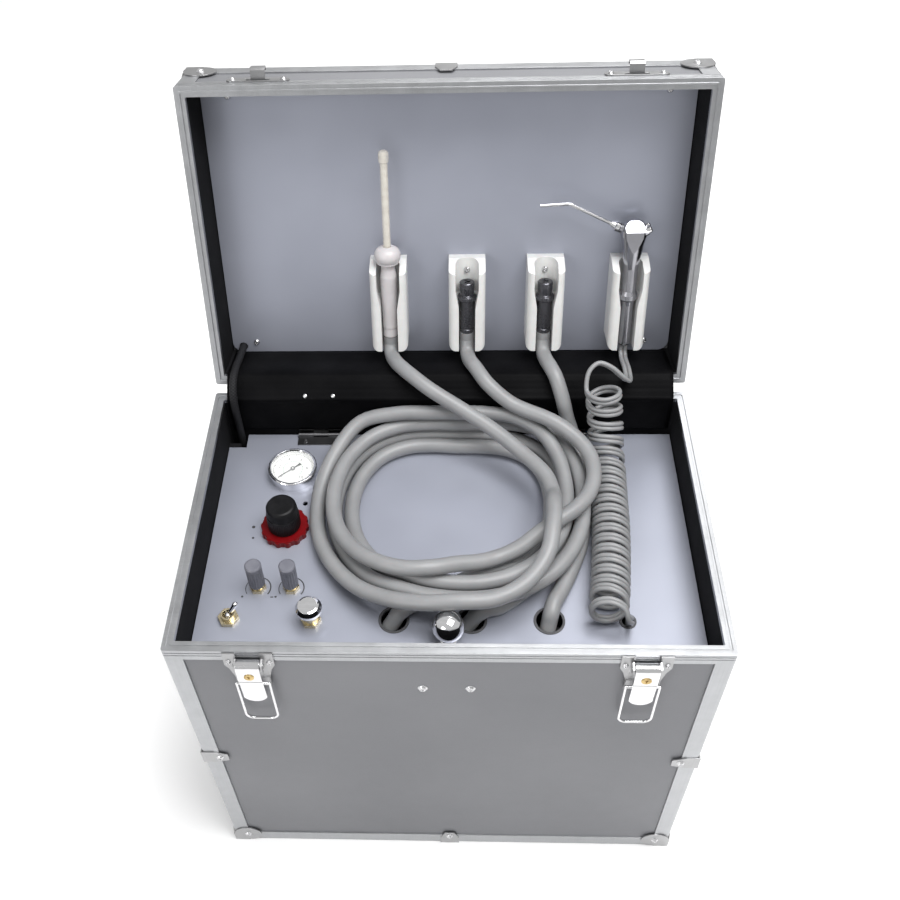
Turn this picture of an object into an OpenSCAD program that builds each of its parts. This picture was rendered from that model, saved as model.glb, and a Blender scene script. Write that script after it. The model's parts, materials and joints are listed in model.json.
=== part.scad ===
// Portable dental unit: an aluminium flight case whose lid opens back to a stop, with a control panel,
// three air hoses and a curly-corded syringe in holders on the lid, and the supply gear under the panel.
// Units are millimetres. The case stands on its corner caps at z = 0, its front faces -Y, +Z is up.
// The lid is drawn upright in its own frame and leant back by lid_lean about the hinge.

/* [Case] */
// Outer width of the case
case_w = 400; // [360:1:440]
// Outer depth of the case, front to back
case_d = 252; // [240:1:270]
// Height of the base from its underside to the top of its rim
base_h = 341; // [320:1:380]
// Depth of the lid from its rim to its outer face
lid_h = 52; // [48:1:62]
// Lean of the open lid behind the vertical, in degrees
lid_lean = 15; // [10:1:20]
// Thickness of the laminated boards
board_t = 4; // [3:0.5:5]
// Thickness of the black lining
lining_t = 2.8; // [2:0.1:3.5]

/* [Edges] */
// Leg of the angle extrusion on each edge
edge_leg = 14; // [11:0.5:18]
// Wall of the extrusions
edge_t = 1.2; // [1:0.1:1.4]
// Height of the rim extrusion
rim_h = 11.6; // [10:0.2:14]
// Depth of the two fine grooves along the rim's face
groove_d = 0.5; // [0.3:0.1:0.6]
// Radius of one lobe of a corner cap
cap_r = 12.5; // [11:0.5:14]
// Thickness of the corner caps and edge clips
cap_t = 1; // [0.8:0.1:1.4]
// Height of the clips on the upright edges
clip_z = 175; // [150:1:200]
// Width of an edge clip
clip_w = 17; // [14:0.5:20]

/* [Lid hinge] */
// Distance of the hinge pins behind the case
hinge_out = 4.5; // [4.2:0.1:6]
// Gap between the rims when the lid is shut
rim_gap = 0.6; // [0.4:0.1:1]
// Width of one lid hinge
hinge_w = 54; // [46:1:64]
// Height of a hinge leaf
hinge_leaf = 30; // [24:1:36]
// Thickness of the hinge steel
hinge_t = 1.4; // [1.2:0.1:1.8]
// Radius of the lid hinge pins
hinge_pin_r = 2; // [1.6:0.1:2.4]
// Distance from the middle of the case to each lid hinge
hinge_x = 118; // [90:1:140]

/* [Latches] */
// Distance from the middle of the case to each latch
latch_x = 139; // [120:1:150]
// Width of the latch plate's ears
latch_ear_w = 36; // [32:1:40]
// Width of the latch lever
latch_lever_w = 17; // [15:0.5:19]
// Height of the lever's hinge
latch_pivot_z = 331; // [329:0.5:332]
// Height of the bail's hinge on the pressed lever
bail_pivot_z = 306; // [304:0.5:307]
// Thickness of the bail's wire
bail_d = 2.2; // [1.8:0.1:2.6]
// Width of the bail between its wires' middles
bail_w = 24; // [23:0.5:26]

/* [Handle] */
// Length of the carrying handle on the lid
handle_w = 120; // [100:1:140]
// Reach of the handle from its hinge
handle_reach = 34; // [30:1:44]
// Radius of the handle's grip
handle_r = 6; // [5:0.5:7]

/* [Control panel] */
// Depth of the control panel below the base's rim
panel_drop = 41; // [36:1:46]
// Thickness of the control panel's sheet
panel_t = 2; // [1.5:0.1:3]
// Gap between a panel and the lining round it
panel_fit = 0.8; // [0.5:0.1:1.5]
// Distance from the case's front to the axis of the panel's hinges
panel_axis_y = 239; // [236:0.5:240]
// Lift of the pins above the panel's face
panel_axis_z = 1.8; // [1.6:0.1:2.2]
// Height of the chrome lifting knob
pull_h = 31; // [28:1:33]
// Radius of the lifting knob's ball
pull_r = 12; // [10:0.5:13]

/* [Pressure gauge and regulator] */
// Place of the gauge across the case
gauge_x = -131.5; // [-135:1:-120]
// Place of the gauge from the front
gauge_y = 195.5; // [190:0.5:200]
// Radius of the gauge's bezel
gauge_r = 20.5; // [18:0.5:22]
// Height of the gauge above the panel
gauge_h = 10.5; // [8:0.5:14]
// Place of the regulator from the front
regulator_y = 137; // [132:1:140]
// Radius of the regulator's knob
knob_r = 13; // [12:0.5:15]
// Height of the knob's top above the panel
knob_top = 32; // [30:1:38]
// Outer radius of the red ring nut
ring_r = 19.5; // [18:0.5:21]
// Number of bumps round the ring nut
ring_bumps = 14; // [10:1:20]

/* [Valves] */
// Places of the two water knobs across the case
water_x = [-147, -121];
// Place of the water knobs from the front
water_y = 80; // [76:1:84]
// Radius of a water knob
water_r = 6.4; // [5.5:0.1:7.5]
// Height of a water knob's top above the panel
water_h = 31; // [26:1:34]
// Number of flutes on a water knob
flutes = 18; // [12:1:24]
// Place of the air toggle across the case
toggle_x = -166; // [-170:1:-160]
// Place of the air toggle from the front
toggle_y = 52; // [46:1:58]
// Lean of the toggle's lever
toggle_lean = 22; // [15:1:25]
// Place of the changeover button across the case
change_x = -103; // [-110:1:-96]
// Place of the changeover button from the front
change_y = 51; // [46:1:56]
// Travel of the changeover button
change_travel = 4; // [2:0.5:5]

/* [Hoses] */
// Outer diameter of the three air hoses
hose_d = 12.4; // [10:0.1:13]
// Place of the hose outlets from the front
outlet_y = 52; // [48:1:56]
// Distance between neighbouring hose outlets
outlet_step = 58.4; // [56:0.2:60]
// Place of the first outlet across the case
outlet_x = -40; // [-42:0.5:-38]
// Radius of the holes that the hoses slant out of
outlet_r = 10; // [9.8:0.1:12]

/* [Lid panel and holders] */
// Depth of the lid's panel below the lid's rim
lid_panel_drop = 43; // [41:0.5:44]
// Thickness of the lid's panel
lid_panel_t = 2; // [1.5:0.1:3]
// Places of the four tool holders across the case
holders = [-49.5, 16, 81, 150];
// Height of the holders' lower ends on the lid
holder_s = 22.5; // [18:0.5:30]
// Width of a tool holder
holder_w = 30.5; // [28:0.5:34]
// Length of a tool holder
holder_l = 77.5; // [70:0.5:84]
// Depth of a tool holder in front of the lid's panel
holder_d = 27; // [25:0.5:29]
// Distance from the lid's panel to the axis of a held tool
tool_out = 16; // [15:0.5:17]
// Radius of a holder's socket
socket_r = 9.7; // [9:0.1:10.4]
// Radius of the slot below the socket
slot_r = 7; // [6.8:0.1:7.4]

/* [Tools] */
// Diameter of the suction handpiece's body
suction_d = 14.4; // [13:0.2:15]
// Diameter of its ball cap
suction_cap_d = 22; // [20:0.5:24]
// Length of the clear ejector tube above the cap
ejector_l = 78; // [60:1:90]
// Diameter of the ejector tube
ejector_d = 6.4; // [5:0.2:7]
// Diameter of a hose connector
connector_d = 11.4; // [10:0.2:12.4]
// Length of a hose connector
connector_l = 46; // [42:1:50]
// Width of the syringe's head
syringe_head_w = 22; // [20:0.5:24]
// Diameter of the syringe's handle
syringe_d = 10.6; // [10:0.2:12]
// Diameter of the syringe's nozzle
nozzle_d = 3; // [2.4:0.1:3.6]
// Travel of the syringe's buttons
button_travel = 2; // [1:0.5:2.5]

/* [Hidden] */
$fn = 48;
eps = 0.01;
skin = edge_t + board_t;              // from the outer face to a board's inner face
wall = skin + lining_t;               // from the outer face to the lining's face
base_z = cap_t;                       // underside of the base, on the caps' thickness
rim_z = base_z + base_h;              // top of the base's rim
panel_z = rim_z - panel_drop;         // face of the control panel
// the hinge, and the lid's frame: its rim plane is y = 0, its back is +Y and its far side is +Z
hinge_y = case_d + hinge_out;
hinge_z = rim_z + rim_gap / 2;
lid_y = hinge_y + hinge_out * sin(lid_lean) + rim_gap / 2 * cos(lid_lean);
lid_z = hinge_z + hinge_out * cos(lid_lean) - rim_gap / 2 * sin(lid_lean);
latch_out = 9;                        // how far the latch levers stand in front of the case
// the middle of the unit from front to back is put at y = 0
lid_reach = lid_y + (lid_h + cap_t) * cos(lid_lean) + (case_d + cap_t) * sin(lid_lean);
mid_y = (lid_reach - latch_out) / 2;

echo(str("JOINT lid ", [0, hinge_y - mid_y, hinge_z]));
echo(str("JOINT panel ", [0, panel_axis_y - mid_y, panel_z + panel_axis_z]));

module in_place() { translate([0, -mid_y, 0]) children(); }

module at_lid() { translate([0, lid_y, lid_z]) rotate([-lid_lean, 0, 0]) children(); }

// x across, s up the lid from its hinge side, h out of the lid's panel towards the rim
// round bar that starts at a point and runs along x
module rod_x(at, r, l) { translate(at) rotate([0, 90, 0]) cylinder(r = r, h = l); }
module on_lid(x = 0, s = 0, h = 0) { at_lid() translate([x, lid_panel_drop - h, s]) children(); }

module on_panel(x, y) { translate([x, y, panel_z]) children(); }

module both_sides() { children(); mirror([1, 0, 0]) children(); }

// a bar along X from -l/2 to l/2 whose Y-Z outline is the child
module bar_x(l) { translate([-l / 2, 0, 0]) rotate([90, 0, 90]) linear_extrude(l) children(); }

module box(lo, hi) { translate(lo) cube(hi - lo); }

// ---- The case. Base and lid are boxes drawn alike: opening at z = 0, outer bottom at z = -h,
// ---- the base's front or the lid's hinge side at y = 0.

module base_box() { translate([0, 0, rim_z]) children(); }

module lid_box() { at_lid() rotate([90, 0, 0]) children(); }

// a plan rectangle set in from the case's outline, with round corners
module plan(inset, r = 2) {
  x = case_w / 2 - inset;
  translate([-x + r, inset]) square([2 * (x - r), case_d - 2 * inset]);
  translate([-x, inset + r]) square([2 * x, case_d - 2 * (inset + r)]);
  for (sx = [-1, 1], y = [inset + r, case_d - inset - r]) translate([sx * (x - r), y]) circle(r);
}

module slab(inset, z0, z1, r = 2) { translate([0, 0, z0]) linear_extrude(z1 - z0) plan(inset, r); }

module ring(outer, inner, z0, z1) {
  difference() {
    slab(outer, z0, z1);
    slab(inner, z0 - 1, z1 + 1, 1);
  }
}

module boards(h) {
  difference() {
    slab(edge_t, -h + edge_t, -edge_t);
    slab(skin, -h + skin, 1, 1);
  }
}

// rim channel over the boards' edges; the base's has a groove on top, the lid's a tongue
rim_in_h = 4;
seal_w = 2;
seal_at = wall / 2;
module rim(tongue) {
  difference() {
    slab(0, -rim_h, 0);
    slab(wall, -rim_h - 1, 1, 1);
    difference() {
      slab(edge_t, -rim_h - 1, -edge_t);
      slab(skin, -rim_in_h, 1, 1);
    }
    slab(skin, -rim_h - 1, -rim_in_h, 1);
    for (z = [-3.2, -6.4]) difference() {
      slab(-1, z - 0.5, z + 0.5);
      slab(groove_d, z - 1, z + 1);
    }
    if (!tongue) ring(seal_at - seal_w / 2, seal_at + seal_w / 2, -0.7, 1);
  }
  if (tongue) ring(seal_at - seal_w / 2 + 0.3, seal_at + seal_w / 2 - 0.3, 0, rim_gap + 0.4);
}

// angle extrusions along every other edge: a shell with a window cut in each face
module edges(h) {
  x = case_w / 2 - edge_leg;
  difference() {
    slab(0, -h, -rim_h);
    slab(edge_t, -h + edge_t, 1);
    box([-x, -1, -h + edge_leg], [x, case_d + 1, 1]);
    box([-case_w, edge_leg, -h + edge_leg], [case_w, case_d - edge_leg, 1]);
    box([-x, edge_leg, -h - 1], [x, case_d - edge_leg, -h + edge_leg]);
  }
}

module cap_lobe() {
  linear_extrude(cap_t) {
    translate([cap_r, cap_r]) circle(cap_r);
    translate([-cap_t, -cap_t]) square(cap_r + cap_t);
  }
}

// three lobes round the corner at the origin, the box being on its positive side
module corner_cap() {
  translate([0, 0, -cap_t]) cap_lobe();
  rotate([0, -90, 0]) cap_lobe();
  rotate([90, 0, 0]) cap_lobe();
}

module at_corners(h) {
  both_sides() {
    translate([-case_w / 2, 0, -h]) children();
    translate([-case_w / 2, case_d, -h]) mirror([0, 1, 0]) children();
  }
}

clip_leaf = 21;
clip_screw = 14;
// two leaves round an edge that runs along Z through the origin
module edge_clip() {
  module leaf() {
    rotate([90, 0, 0]) linear_extrude(cap_t)
      polygon([[-cap_t, -clip_w / 2], [10, -clip_w / 2], [clip_leaf, -4.5], [clip_leaf, 4.5],
               [10, clip_w / 2], [-cap_t, clip_w / 2]]);
  }
  leaf();
  mirror([1, -1, 0]) leaf();
}

// a screw head standing on z = 0, with a cross recess
screw_r = 3.2;
screw_h = 1.5;
module screw(r = screw_r) {
  difference() {
    cylinder(r1 = r, r2 = 0.62 * r, h = screw_h);
    for (a = [0, 90]) rotate(a) translate([-0.5 * r, -0.13 * r, 0.8]) cube([r, 0.26 * r, 2]);
  }
}

module case_clips(h, z) {
  both_sides() {
    translate([-case_w / 2, 0, z]) edge_clip();
    translate([-case_w / 2, case_d, z]) mirror([0, 1, 0]) edge_clip();
  }
  for (m = [0, 1]) translate([0, m * case_d, -h]) mirror([0, m, 0])
    rotate([0, 90, 0]) mirror([1, 0, 0]) edge_clip();
}

module clip_screws(h, z) {
  both_sides() for (y = [0, case_d]) translate([0, y, z]) {
    m = y > 0 ? 1 : 0;
    translate([-case_w / 2 + clip_screw, (2 * m - 1) * cap_t, 0]) rotate([m ? -90 : 90, 0, 0]) screw();
    translate([-case_w / 2 - cap_t, (m ? -1 : 1) * clip_screw, 0]) rotate([0, -90, 0]) screw();
  }
  for (m = [0, 1]) translate([0, m * case_d + (2 * m - 1) * cap_t, -h + clip_screw])
    rotate([m ? -90 : 90, 0, 0]) screw();
}

module cap_screws() {
  translate([cap_r, -cap_t, cap_r]) rotate([90, 0, 0]) screw();
  translate([-cap_t, cap_r, cap_r]) rotate([0, -90, 0]) screw();
}

// Base ----------------------------------------------------------------------------------------

module base_panels() { color([0.62, 0.63, 0.66]) base_box() boards(base_h); }

ledge_w = 10;
ledge_h = 12;
tube_notch = 15;                      // corner of the panel left open for the black sleeve
module base_liner() {
  top = panel_z - panel_t;
  color([0.06, 0.06, 0.065]) {
    base_box() ring(skin, wall, -base_h + skin, -rim_in_h);
    difference() {
      translate([0, 0, rim_z]) ring(wall - eps, wall + ledge_w, top - ledge_h - rim_z, top - rim_z);
      box([-case_w, case_d - wall - ledge_w - 2, 0], [case_w, case_d, rim_z]);
    }
    // gland that the black sleeve goes down into
    translate([sleeve_x - 6, case_d - wall - 12, sleeve_foot - 14]) cube([12, 12 + eps, 14]);
  }
}

module base_edges() { color([0.8, 0.81, 0.83]) base_box() edges(base_h); }

module base_rim() { color([0.86, 0.87, 0.89]) base_box() rim(false); }

module base_fittings() {
  color([0.7, 0.71, 0.72]) {
    base_box() {
      at_corners(base_h) corner_cap();
      case_clips(base_h, clip_z - rim_z);
    }
    for (s = [-1, 1]) at_latch(s) latch_plate();
  }
}

support_screws = [-17.4, 17.4];
support_z = 290;
module case_screws() {
  color([0.75, 0.76, 0.78]) {
    base_box() {
      at_corners(base_h) cap_screws();
      clip_screws(base_h, clip_z - rim_z);
    }
    for (x = support_screws) translate([x, edge_t, support_z]) rotate([90, 0, 0]) screw(3.8);
    both_sides() for (x = [-1, 1], z = [10, 22])
      translate([hinge_x + x * 15, case_d + hinge_t, hinge_z - z]) rotate([-90, 0, 0]) screw(2.6);
    both_sides() for (x = [-1, 1])
      translate([latch_x + x * latch_ear_x, -plate_t, latch_ear_z]) rotate([90, 0, 0]) screw(2.2);
  }
}

// Lid -----------------------------------------------------------------------------------------

module lid_panels() { color([0.62, 0.63, 0.66]) lid_box() boards(lid_h); }

module lid_edges() { color([0.8, 0.81, 0.83]) lid_box() edges(lid_h); }

module lid_rim() { color([0.86, 0.87, 0.89]) lid_box() rim(true); }

module lid_liner() { color([0.06, 0.06, 0.065]) lid_box() ring(skin, wall, -lid_h + skin, -rim_in_h); }

// silver panel on four spacers, with round corners
lid_screw_x = 170;
sleeve_x = -182;
sleeve_s = 14;
sleeve_d = 6.5;
sleeve_foot = panel_z - 26;
lid_screw_s = [18, case_d - 19];
module lid_panel() {
  inset = wall + panel_fit;
  color([0.66, 0.67, 0.72]) lid_box() {
    difference() {
      slab(inset, -lid_panel_drop - lid_panel_t, -lid_panel_drop, 9);
      for (sx = [-1, 1], s = lid_screw_s) translate([sx * lid_screw_x, s, -lid_h])
        cylinder(r = 1.6, h = lid_h);
      translate([sleeve_x, sleeve_s, -lid_h]) cylinder(r = sleeve_d / 2 + 0.6, h = lid_h);
    }
    for (sx = [-1, 1], s = lid_screw_s) translate([sx * lid_screw_x, s, -lid_h + skin])
      cylinder(r = 6, h = lid_h - skin - lid_panel_drop - lid_panel_t);
  }
}

module lid_screws() {
  color([0.8, 0.8, 0.82]) {
    for (sx = [-1, 1], s = lid_screw_s) on_lid(sx * lid_screw_x, s) rotate([90, 0, 0]) screw(2.8);
    for (i = [0:3]) on_lid(holders[i], holder_s + holder_l - 11, holder_screw_seat)
      rotate([90, 0, 0]) screw(holder_screw_r);
    lid_box() at_corners(lid_h) cap_screws();
    at_lid() both_sides() for (x = [-1, 1]) translate([latch_x + x * catch_ear_x, catch_y, case_d + cap_t])
      screw(2.2);
    open_lid() both_sides() for (x = [-1, 1], z = [10, 22])
      translate([hinge_x + x * 15, case_d + hinge_t, hinge_z + z]) rotate([-90, 0, 0]) screw(2.6);
    at_lid() both_sides() for (z = [-1, 1])
      translate([handle_w / 2 + 7, handle_seat + handle_plate_t, handle_s + z * 11])
        rotate([-90, 0, 0]) screw(2.6);
  }
}

// Catches on the lid's far side: eared plates with a window, and a tongue that the bail hooks behind
catch_y = 13;                         // from the lid's rim to the middle of the ears
catch_ear_x = 19;
catch_ear_r = 4.6;
catch_w = 18;
catch_out = 9;
catch_t = 1.4;
web_y = catch_y + 0.4;                // rim side of the tongue's web, which takes the bail's bar
hook_y = web_y + 8;                   // from the rim to the tongue's free edge
module catch() {
  translate([0, 0, case_d]) difference() {
    linear_extrude(cap_t) {
      for (x = [-1, 1]) translate([x * catch_ear_x, catch_y]) circle(catch_ear_r);
      translate([-catch_ear_x, catch_y - catch_ear_r]) square([2 * catch_ear_x, 2 * catch_ear_r]);
    }
    translate([-catch_w / 2, catch_y - catch_ear_r + 1.2, -1])
      cube([catch_w, web_y - catch_y + catch_ear_r - 1.2, 4]);
  }
  translate([0, 0, case_d]) bar_x(tongue_w) polygon([
    [web_y, 0], [web_y, catch_out - 1.6], [web_y + 1.6, catch_out], [hook_y - 1, catch_out],
    [hook_y, catch_out - 1], [hook_y, catch_out - 3.2], [hook_y - 1.2, catch_out - 3.2],
    [hook_y - 1.4, catch_out - catch_t], [web_y + 2.2, catch_out - catch_t],
    [web_y + catch_t, catch_out - 2.2], [web_y + catch_t, 0]]);
}

// everything in steel on the lid's outside: corner caps, front clip, catches and the handle's brackets
handle_s = case_d / 2 + handle_reach / 2;
handle_pin_r = 2.5;
handle_out = 9;                       // from the lid's outer face to the handle's axis
handle_seat = lid_h - edge_t;         // face of the lid's boards, which the handle's plates lie on
handle_plate_t = 2;
module lid_fittings() {
  color([0.7, 0.71, 0.72]) {
    lid_box() {
      at_corners(lid_h) corner_cap();
      translate([0, case_d, -lid_h]) mirror([0, 1, 0]) rotate([0, 90, 0]) mirror([1, 0, 0]) edge_clip();
    }
    at_lid() {
      both_sides() translate([latch_x, 0, 0]) catch();
      both_sides() difference() {
        union() {
          box([handle_w / 2, handle_seat, handle_s - 16],
            [handle_w / 2 + 14, handle_seat + handle_plate_t, handle_s + 16]);
          rod_x([handle_w / 2 + 3, lid_h + handle_out, handle_s], 6, 8);
          box([handle_w / 2 + 3, handle_seat + 1, handle_s - 6],
            [handle_w / 2 + 11, lid_h + handle_out, handle_s + 6]);
        }
        translate([handle_w / 2, lid_h + handle_out, handle_s]) rotate([0, 90, 0])
          cylinder(r = handle_pin_r + 0.05, h = 20);
      }
    }
  }
}

// the carrying handle hangs straight down, so it stands lid_lean away from the lid's face
module handle() {
  arm_x = handle_w / 2 - 3.5;
  color([0.09, 0.09, 0.1]) at_lid() translate([0, lid_h + handle_out, handle_s]) rotate([lid_lean, 0, 0]) {
    both_sides() {
      rod_x([arm_x, 0, 0], 4.5, 6);
      rod_x([arm_x, 0, 0], handle_pin_r, 14);
      translate([arm_x + 3, 0, -handle_reach]) cylinder(r = 3, h = handle_reach);
      translate([arm_x + 3, 0, -handle_reach]) sphere(r = 3);
    }
    rod_x([-arm_x - 3, 0, -handle_reach], 3, 2 * arm_x + 6);
    rod_x([-handle_w / 2 + 18, 0, -handle_reach], handle_r, handle_w - 36);
  }
}

// Lid hinges ------------------------------------------------------------------------------------

module open_lid() {
  translate([0, hinge_y, hinge_z]) rotate([-(90 + lid_lean), 0, 0]) translate([0, -hinge_y, -hinge_z])
    children();
}

knuckle_r = hinge_out - 0.4;
lid_knuckle_w = 0.4 * hinge_w;
// a leaf on the case's back below the pin, its cheeks cut along the line that halves the open angle
module hinge_leaf_plate() {
  half = (90 - lid_lean) / 2;
  cheek = [for (r = [hinge_stop_in, hinge_stop_out]) r * [sin(half), -cos(half)]];
  box([-hinge_w / 2, case_d, hinge_z - hinge_leaf],
    [hinge_w / 2, case_d + hinge_t, hinge_z - knuckle_r - 0.7]);
  for (x = [-hinge_w / 2, hinge_w / 2 - 2]) translate([x, hinge_y, hinge_z]) rotate([90, 0, 90])
    linear_extrude(2) polygon([[-hinge_out + hinge_t / 2, -hinge_leaf], [-hinge_out + hinge_t / 2, -8.5],
                               cheek[0], cheek[1]]);
}
hinge_stop_in = 9;
hinge_stop_out = 21;

module hinge_base() {
  color([0.72, 0.73, 0.75]) both_sides() translate([hinge_x, 0, 0]) {
    hinge_leaf_plate();
    for (x = [-hinge_w / 2, lid_knuckle_w / 2 + 0.3]) {
      w = hinge_w / 2 - lid_knuckle_w / 2 - 0.3;
      rod_x([x, hinge_y, hinge_z], knuckle_r, w);
      box([x, case_d, hinge_z - knuckle_r - 1], [x + w, case_d + hinge_t, hinge_z]);
    }
    rod_x([-hinge_w / 2 - 1, hinge_y, hinge_z], hinge_pin_r, hinge_w + 2);
  }
}

module hinge_lid() {
  color([0.72, 0.73, 0.75]) open_lid() both_sides() translate([hinge_x, 0, 0]) {
    translate([0, 0, 2 * hinge_z]) mirror([0, 0, 1]) hinge_leaf_plate();
    difference() {
      union() {
        rod_x([-lid_knuckle_w / 2, hinge_y, hinge_z], knuckle_r, lid_knuckle_w);
        box([-lid_knuckle_w / 2, case_d, hinge_z],
          [lid_knuckle_w / 2, case_d + hinge_t, hinge_z + knuckle_r + 1]);
      }
      rod_x([-hinge_w, hinge_y, hinge_z], hinge_pin_r + 0.06, 2 * hinge_w);
    }
  }
}

// a point of the lid's cross-section, y back and s up, in the case's frame
function lid_point(y, s) = [lid_y + y * cos(lid_lean) + s * sin(lid_lean),
                            lid_z - y * sin(lid_lean) + s * cos(lid_lean)];

// left normal of an open outline at point i
function side(p, i) = let (a = p[max(i - 1, 0)], b = p[min(i + 1, len(p) - 1)], d = b - a)
  [-d[1], d[0]] / norm(d);

// flexible cover that closes the gap between lid and base at the back
cover_w = case_w - 2 * wall - 6;
cover_t = 1.2;
module hinge_cover() {
  path = [lid_point(lid_panel_drop - 3, wall + 1), lid_point(22, wall + 1), lid_point(-0.2, wall + 1.6),
          [case_d - wall + 8, rim_z + 8.5], [case_d - wall + 1, rim_z + 2.6],
          [case_d - wall - 1, rim_z + 0.9], [case_d - wall - 1, rim_z - 3],
          [case_d - wall - 1, rim_z - 20], [case_d - wall - 0.9, panel_z + 5]];
  n = len(path);
  color([0.1, 0.1, 0.11]) bar_x(cover_w) polygon(concat(
    [for (i = [0:n - 1]) path[i] + side(path, i) * cover_t / 2],
    [for (i = [n - 1:-1:0]) path[i] - side(path, i) * cover_t / 2]));
}

// Latches ---------------------------------------------------------------------------------------

plate_t = 1.4;
latch_ear_x = 14.6;
latch_ear_z = rim_z - 12;
latch_pivot_y = -4.6;
latch_pin_r = 1.2;
lever_r = latch_out + latch_pivot_y;  // round top of the lever about its pin
lever_len = 46;
bail_y = -4.6;
bail_z = bail_pivot_z;
bail_r = bail_d / 2;
bail_corner = 6.5;                    // to the middle of the wire
tongue_w = bail_w - 2 * bail_corner;  // width of the catch's tongue: the straight part of the bail's bar
// where the bail's bar lies when the lid is shut and latched, and so how long the bail is
bar_y = -(cap_t + 2.4);
bar_z = rim_z + rim_gap + web_y + catch_t + bail_r + 0.1;
bail_len = norm([bar_y - bail_y, bar_z - bail_z]);
bail_turn = 180 + atan((bar_y - bail_y) / (bar_z - bail_z));
echo(str("JOINT lever ", [latch_x, latch_pivot_y - mid_y, latch_pivot_z]));
echo(str("JOINT bail ", [latch_x, bail_y - mid_y, bail_z], " turn ", bail_turn));

module at_latch(side) { translate([side * latch_x, 0, 0]) children(); }

// eared plate with a window behind the lever's round top, and two cheeks that hold its pin
module latch_plate() {
  w = latch_ear_w / 2;
  cheek = latch_lever_w / 2 + 0.3;
  difference() {
    translate([0, 0, 0]) rotate([90, 0, 0]) linear_extrude(plate_t) polygon([
      [-w, rim_z - 1], [-w, rim_z - 16], [-w + 3, rim_z - 22], [-12.5, rim_z - 33], [-12.5, rim_z - 45],
      [12.5, rim_z - 45], [12.5, rim_z - 33], [w - 3, rim_z - 22], [w, rim_z - 16], [w, rim_z - 1]]);
    box([-cheek, -3, latch_pivot_z - lever_r - 0.6], [cheek, 1, rim_z + 1]);
  }
  for (x = [-1, 1]) translate([x * (cheek + 0.7) - 0.7, 0, 0]) rotate([90, 0, 90]) linear_extrude(1.4)
    polygon([[0, latch_pivot_z + 4], [-7, latch_pivot_z + 2], [-7, latch_pivot_z - 3],
      [0, latch_pivot_z - 9]]);
  rod_x([-cheek - 2, latch_pivot_y, latch_pivot_z], latch_pin_r, 2 * cheek + 4);
  for (x = [-1, 1], z = [-36, -42]) translate([x * 9, 0, rim_z + z]) rotate([-90, 0, 0])
    cylinder(r = 2, h = edge_t);
}

// lever: round top, lock block with its key plug, waist, tab and a grip
module latch_lever(side) {
  z = latch_pivot_z;
  color([0.8, 0.8, 0.81]) at_latch(side) difference() {
    union() {
      rod_x([-latch_lever_w / 2, latch_pivot_y, z], lever_r, latch_lever_w);
      bar_x(latch_lever_w) polygon([
        [latch_pivot_y, z + lever_r], [-latch_out, z], [-latch_out, z - 15.4], [-latch_out + 1.2, z - 16.2],
        [-latch_out + 1.2, z - 17], [-latch_out + 0.6, z - 17.6], [-latch_out + 1.6, z - lever_len + 9],
        [-plate_t - 1.4, z - lever_len + 9], [-plate_t - 0.3, z - lever_len + 20],
        [-plate_t - 0.3, z - 5], [latch_pivot_y + lever_r - 0.4, z - 1]]);
      // thin grip with a round end
      intersection() {
        bar_x(latch_lever_w) polygon([
          [-latch_out + 1.6, z - lever_len + 9 + eps], [-latch_out + 1.2, z - lever_len],
          [-latch_out + 3.4, z - lever_len], [-plate_t - 1.4, z - lever_len + 9 + eps]]);
        translate([0, 0, z - lever_len + 9.5]) rotate([90, 0, 0])
          cylinder(r = latch_lever_w / 2 + 0.9, h = 20);
      }
    }
    rod_x([-20, latch_pivot_y, z], latch_pin_r + 0.06, 40);
    rod_x([-20, bail_y, bail_z], bail_r + 0.06, 40);
    translate([0, -latch_out + 0.8, z - 9]) rotate([90, 0, 0]) cylinder(r = 3.6, h = 5);
  }
}
module latch_lever_left() { latch_lever(-1); }
module latch_lever_right() { latch_lever(1); }

// brass key plugs pressed into the levers, each with a slot
module key_plug(side) {
  color([0.72, 0.6, 0.32]) at_latch(side) translate([0, -latch_out + 0.8, latch_pivot_z - 9])
    rotate([90, 0, 0])
    difference() {
      cylinder(r = 3.6, h = 1.3);
      translate([-0.5, -1.9, 0.5]) cube([1, 3.8, 2]);
      translate([0, 0.8, 0.5]) cylinder(r = 1, h = 2);
    }
}
module key_plug_left() { key_plug(-1); }
module key_plug_right() { key_plug(1); }

// wire bail: an eyed bar through the lever and a loop with round corners, hanging straight down
module latch_bail(side) {
  w = bail_w / 2;
  r = bail_corner;
  color([0.82, 0.82, 0.83]) at_latch(side) translate([0, bail_y, bail_z]) {
    rod_x([-w, 0, 0], bail_r, 2 * w);
    for (x = [-1, 1]) {
      translate([x * w, 0, 0]) sphere(bail_r);
      translate([x * w, 0, -bail_len + r]) cylinder(r = bail_r, h = bail_len - r);
      translate([x * (w - r), 0, -bail_len + r]) rotate([90, 0, 0]) rotate(x > 0 ? -90 : 180)
        rotate_extrude(angle = 90) translate([r, 0]) circle(bail_r);
    }
    rod_x([-w + r, 0, -bail_len], bail_r, 2 * (w - r));
  }
}
module latch_bail_left() { latch_bail(-1); }
module latch_bail_right() { latch_bail(1); }

// Control panel ---------------------------------------------------------------------------------

outlets = [for (i = [0:3]) outlet_x + i * outlet_step];
hinge_plate_w = 39;
hinge_plates_x = [-112, 100];
regulator_x = gauge_x - 0.5;
panel_back = panel_axis_y + 1.5;
cord_hole_r = 4.6;
set_screw = [-118.5, 163.5];
pull_x = 1.2;
pull_y = 35;
panel_front = wall + panel_fit;
grommet_t = 0.9;
hose_r = hose_d / 2;

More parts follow.
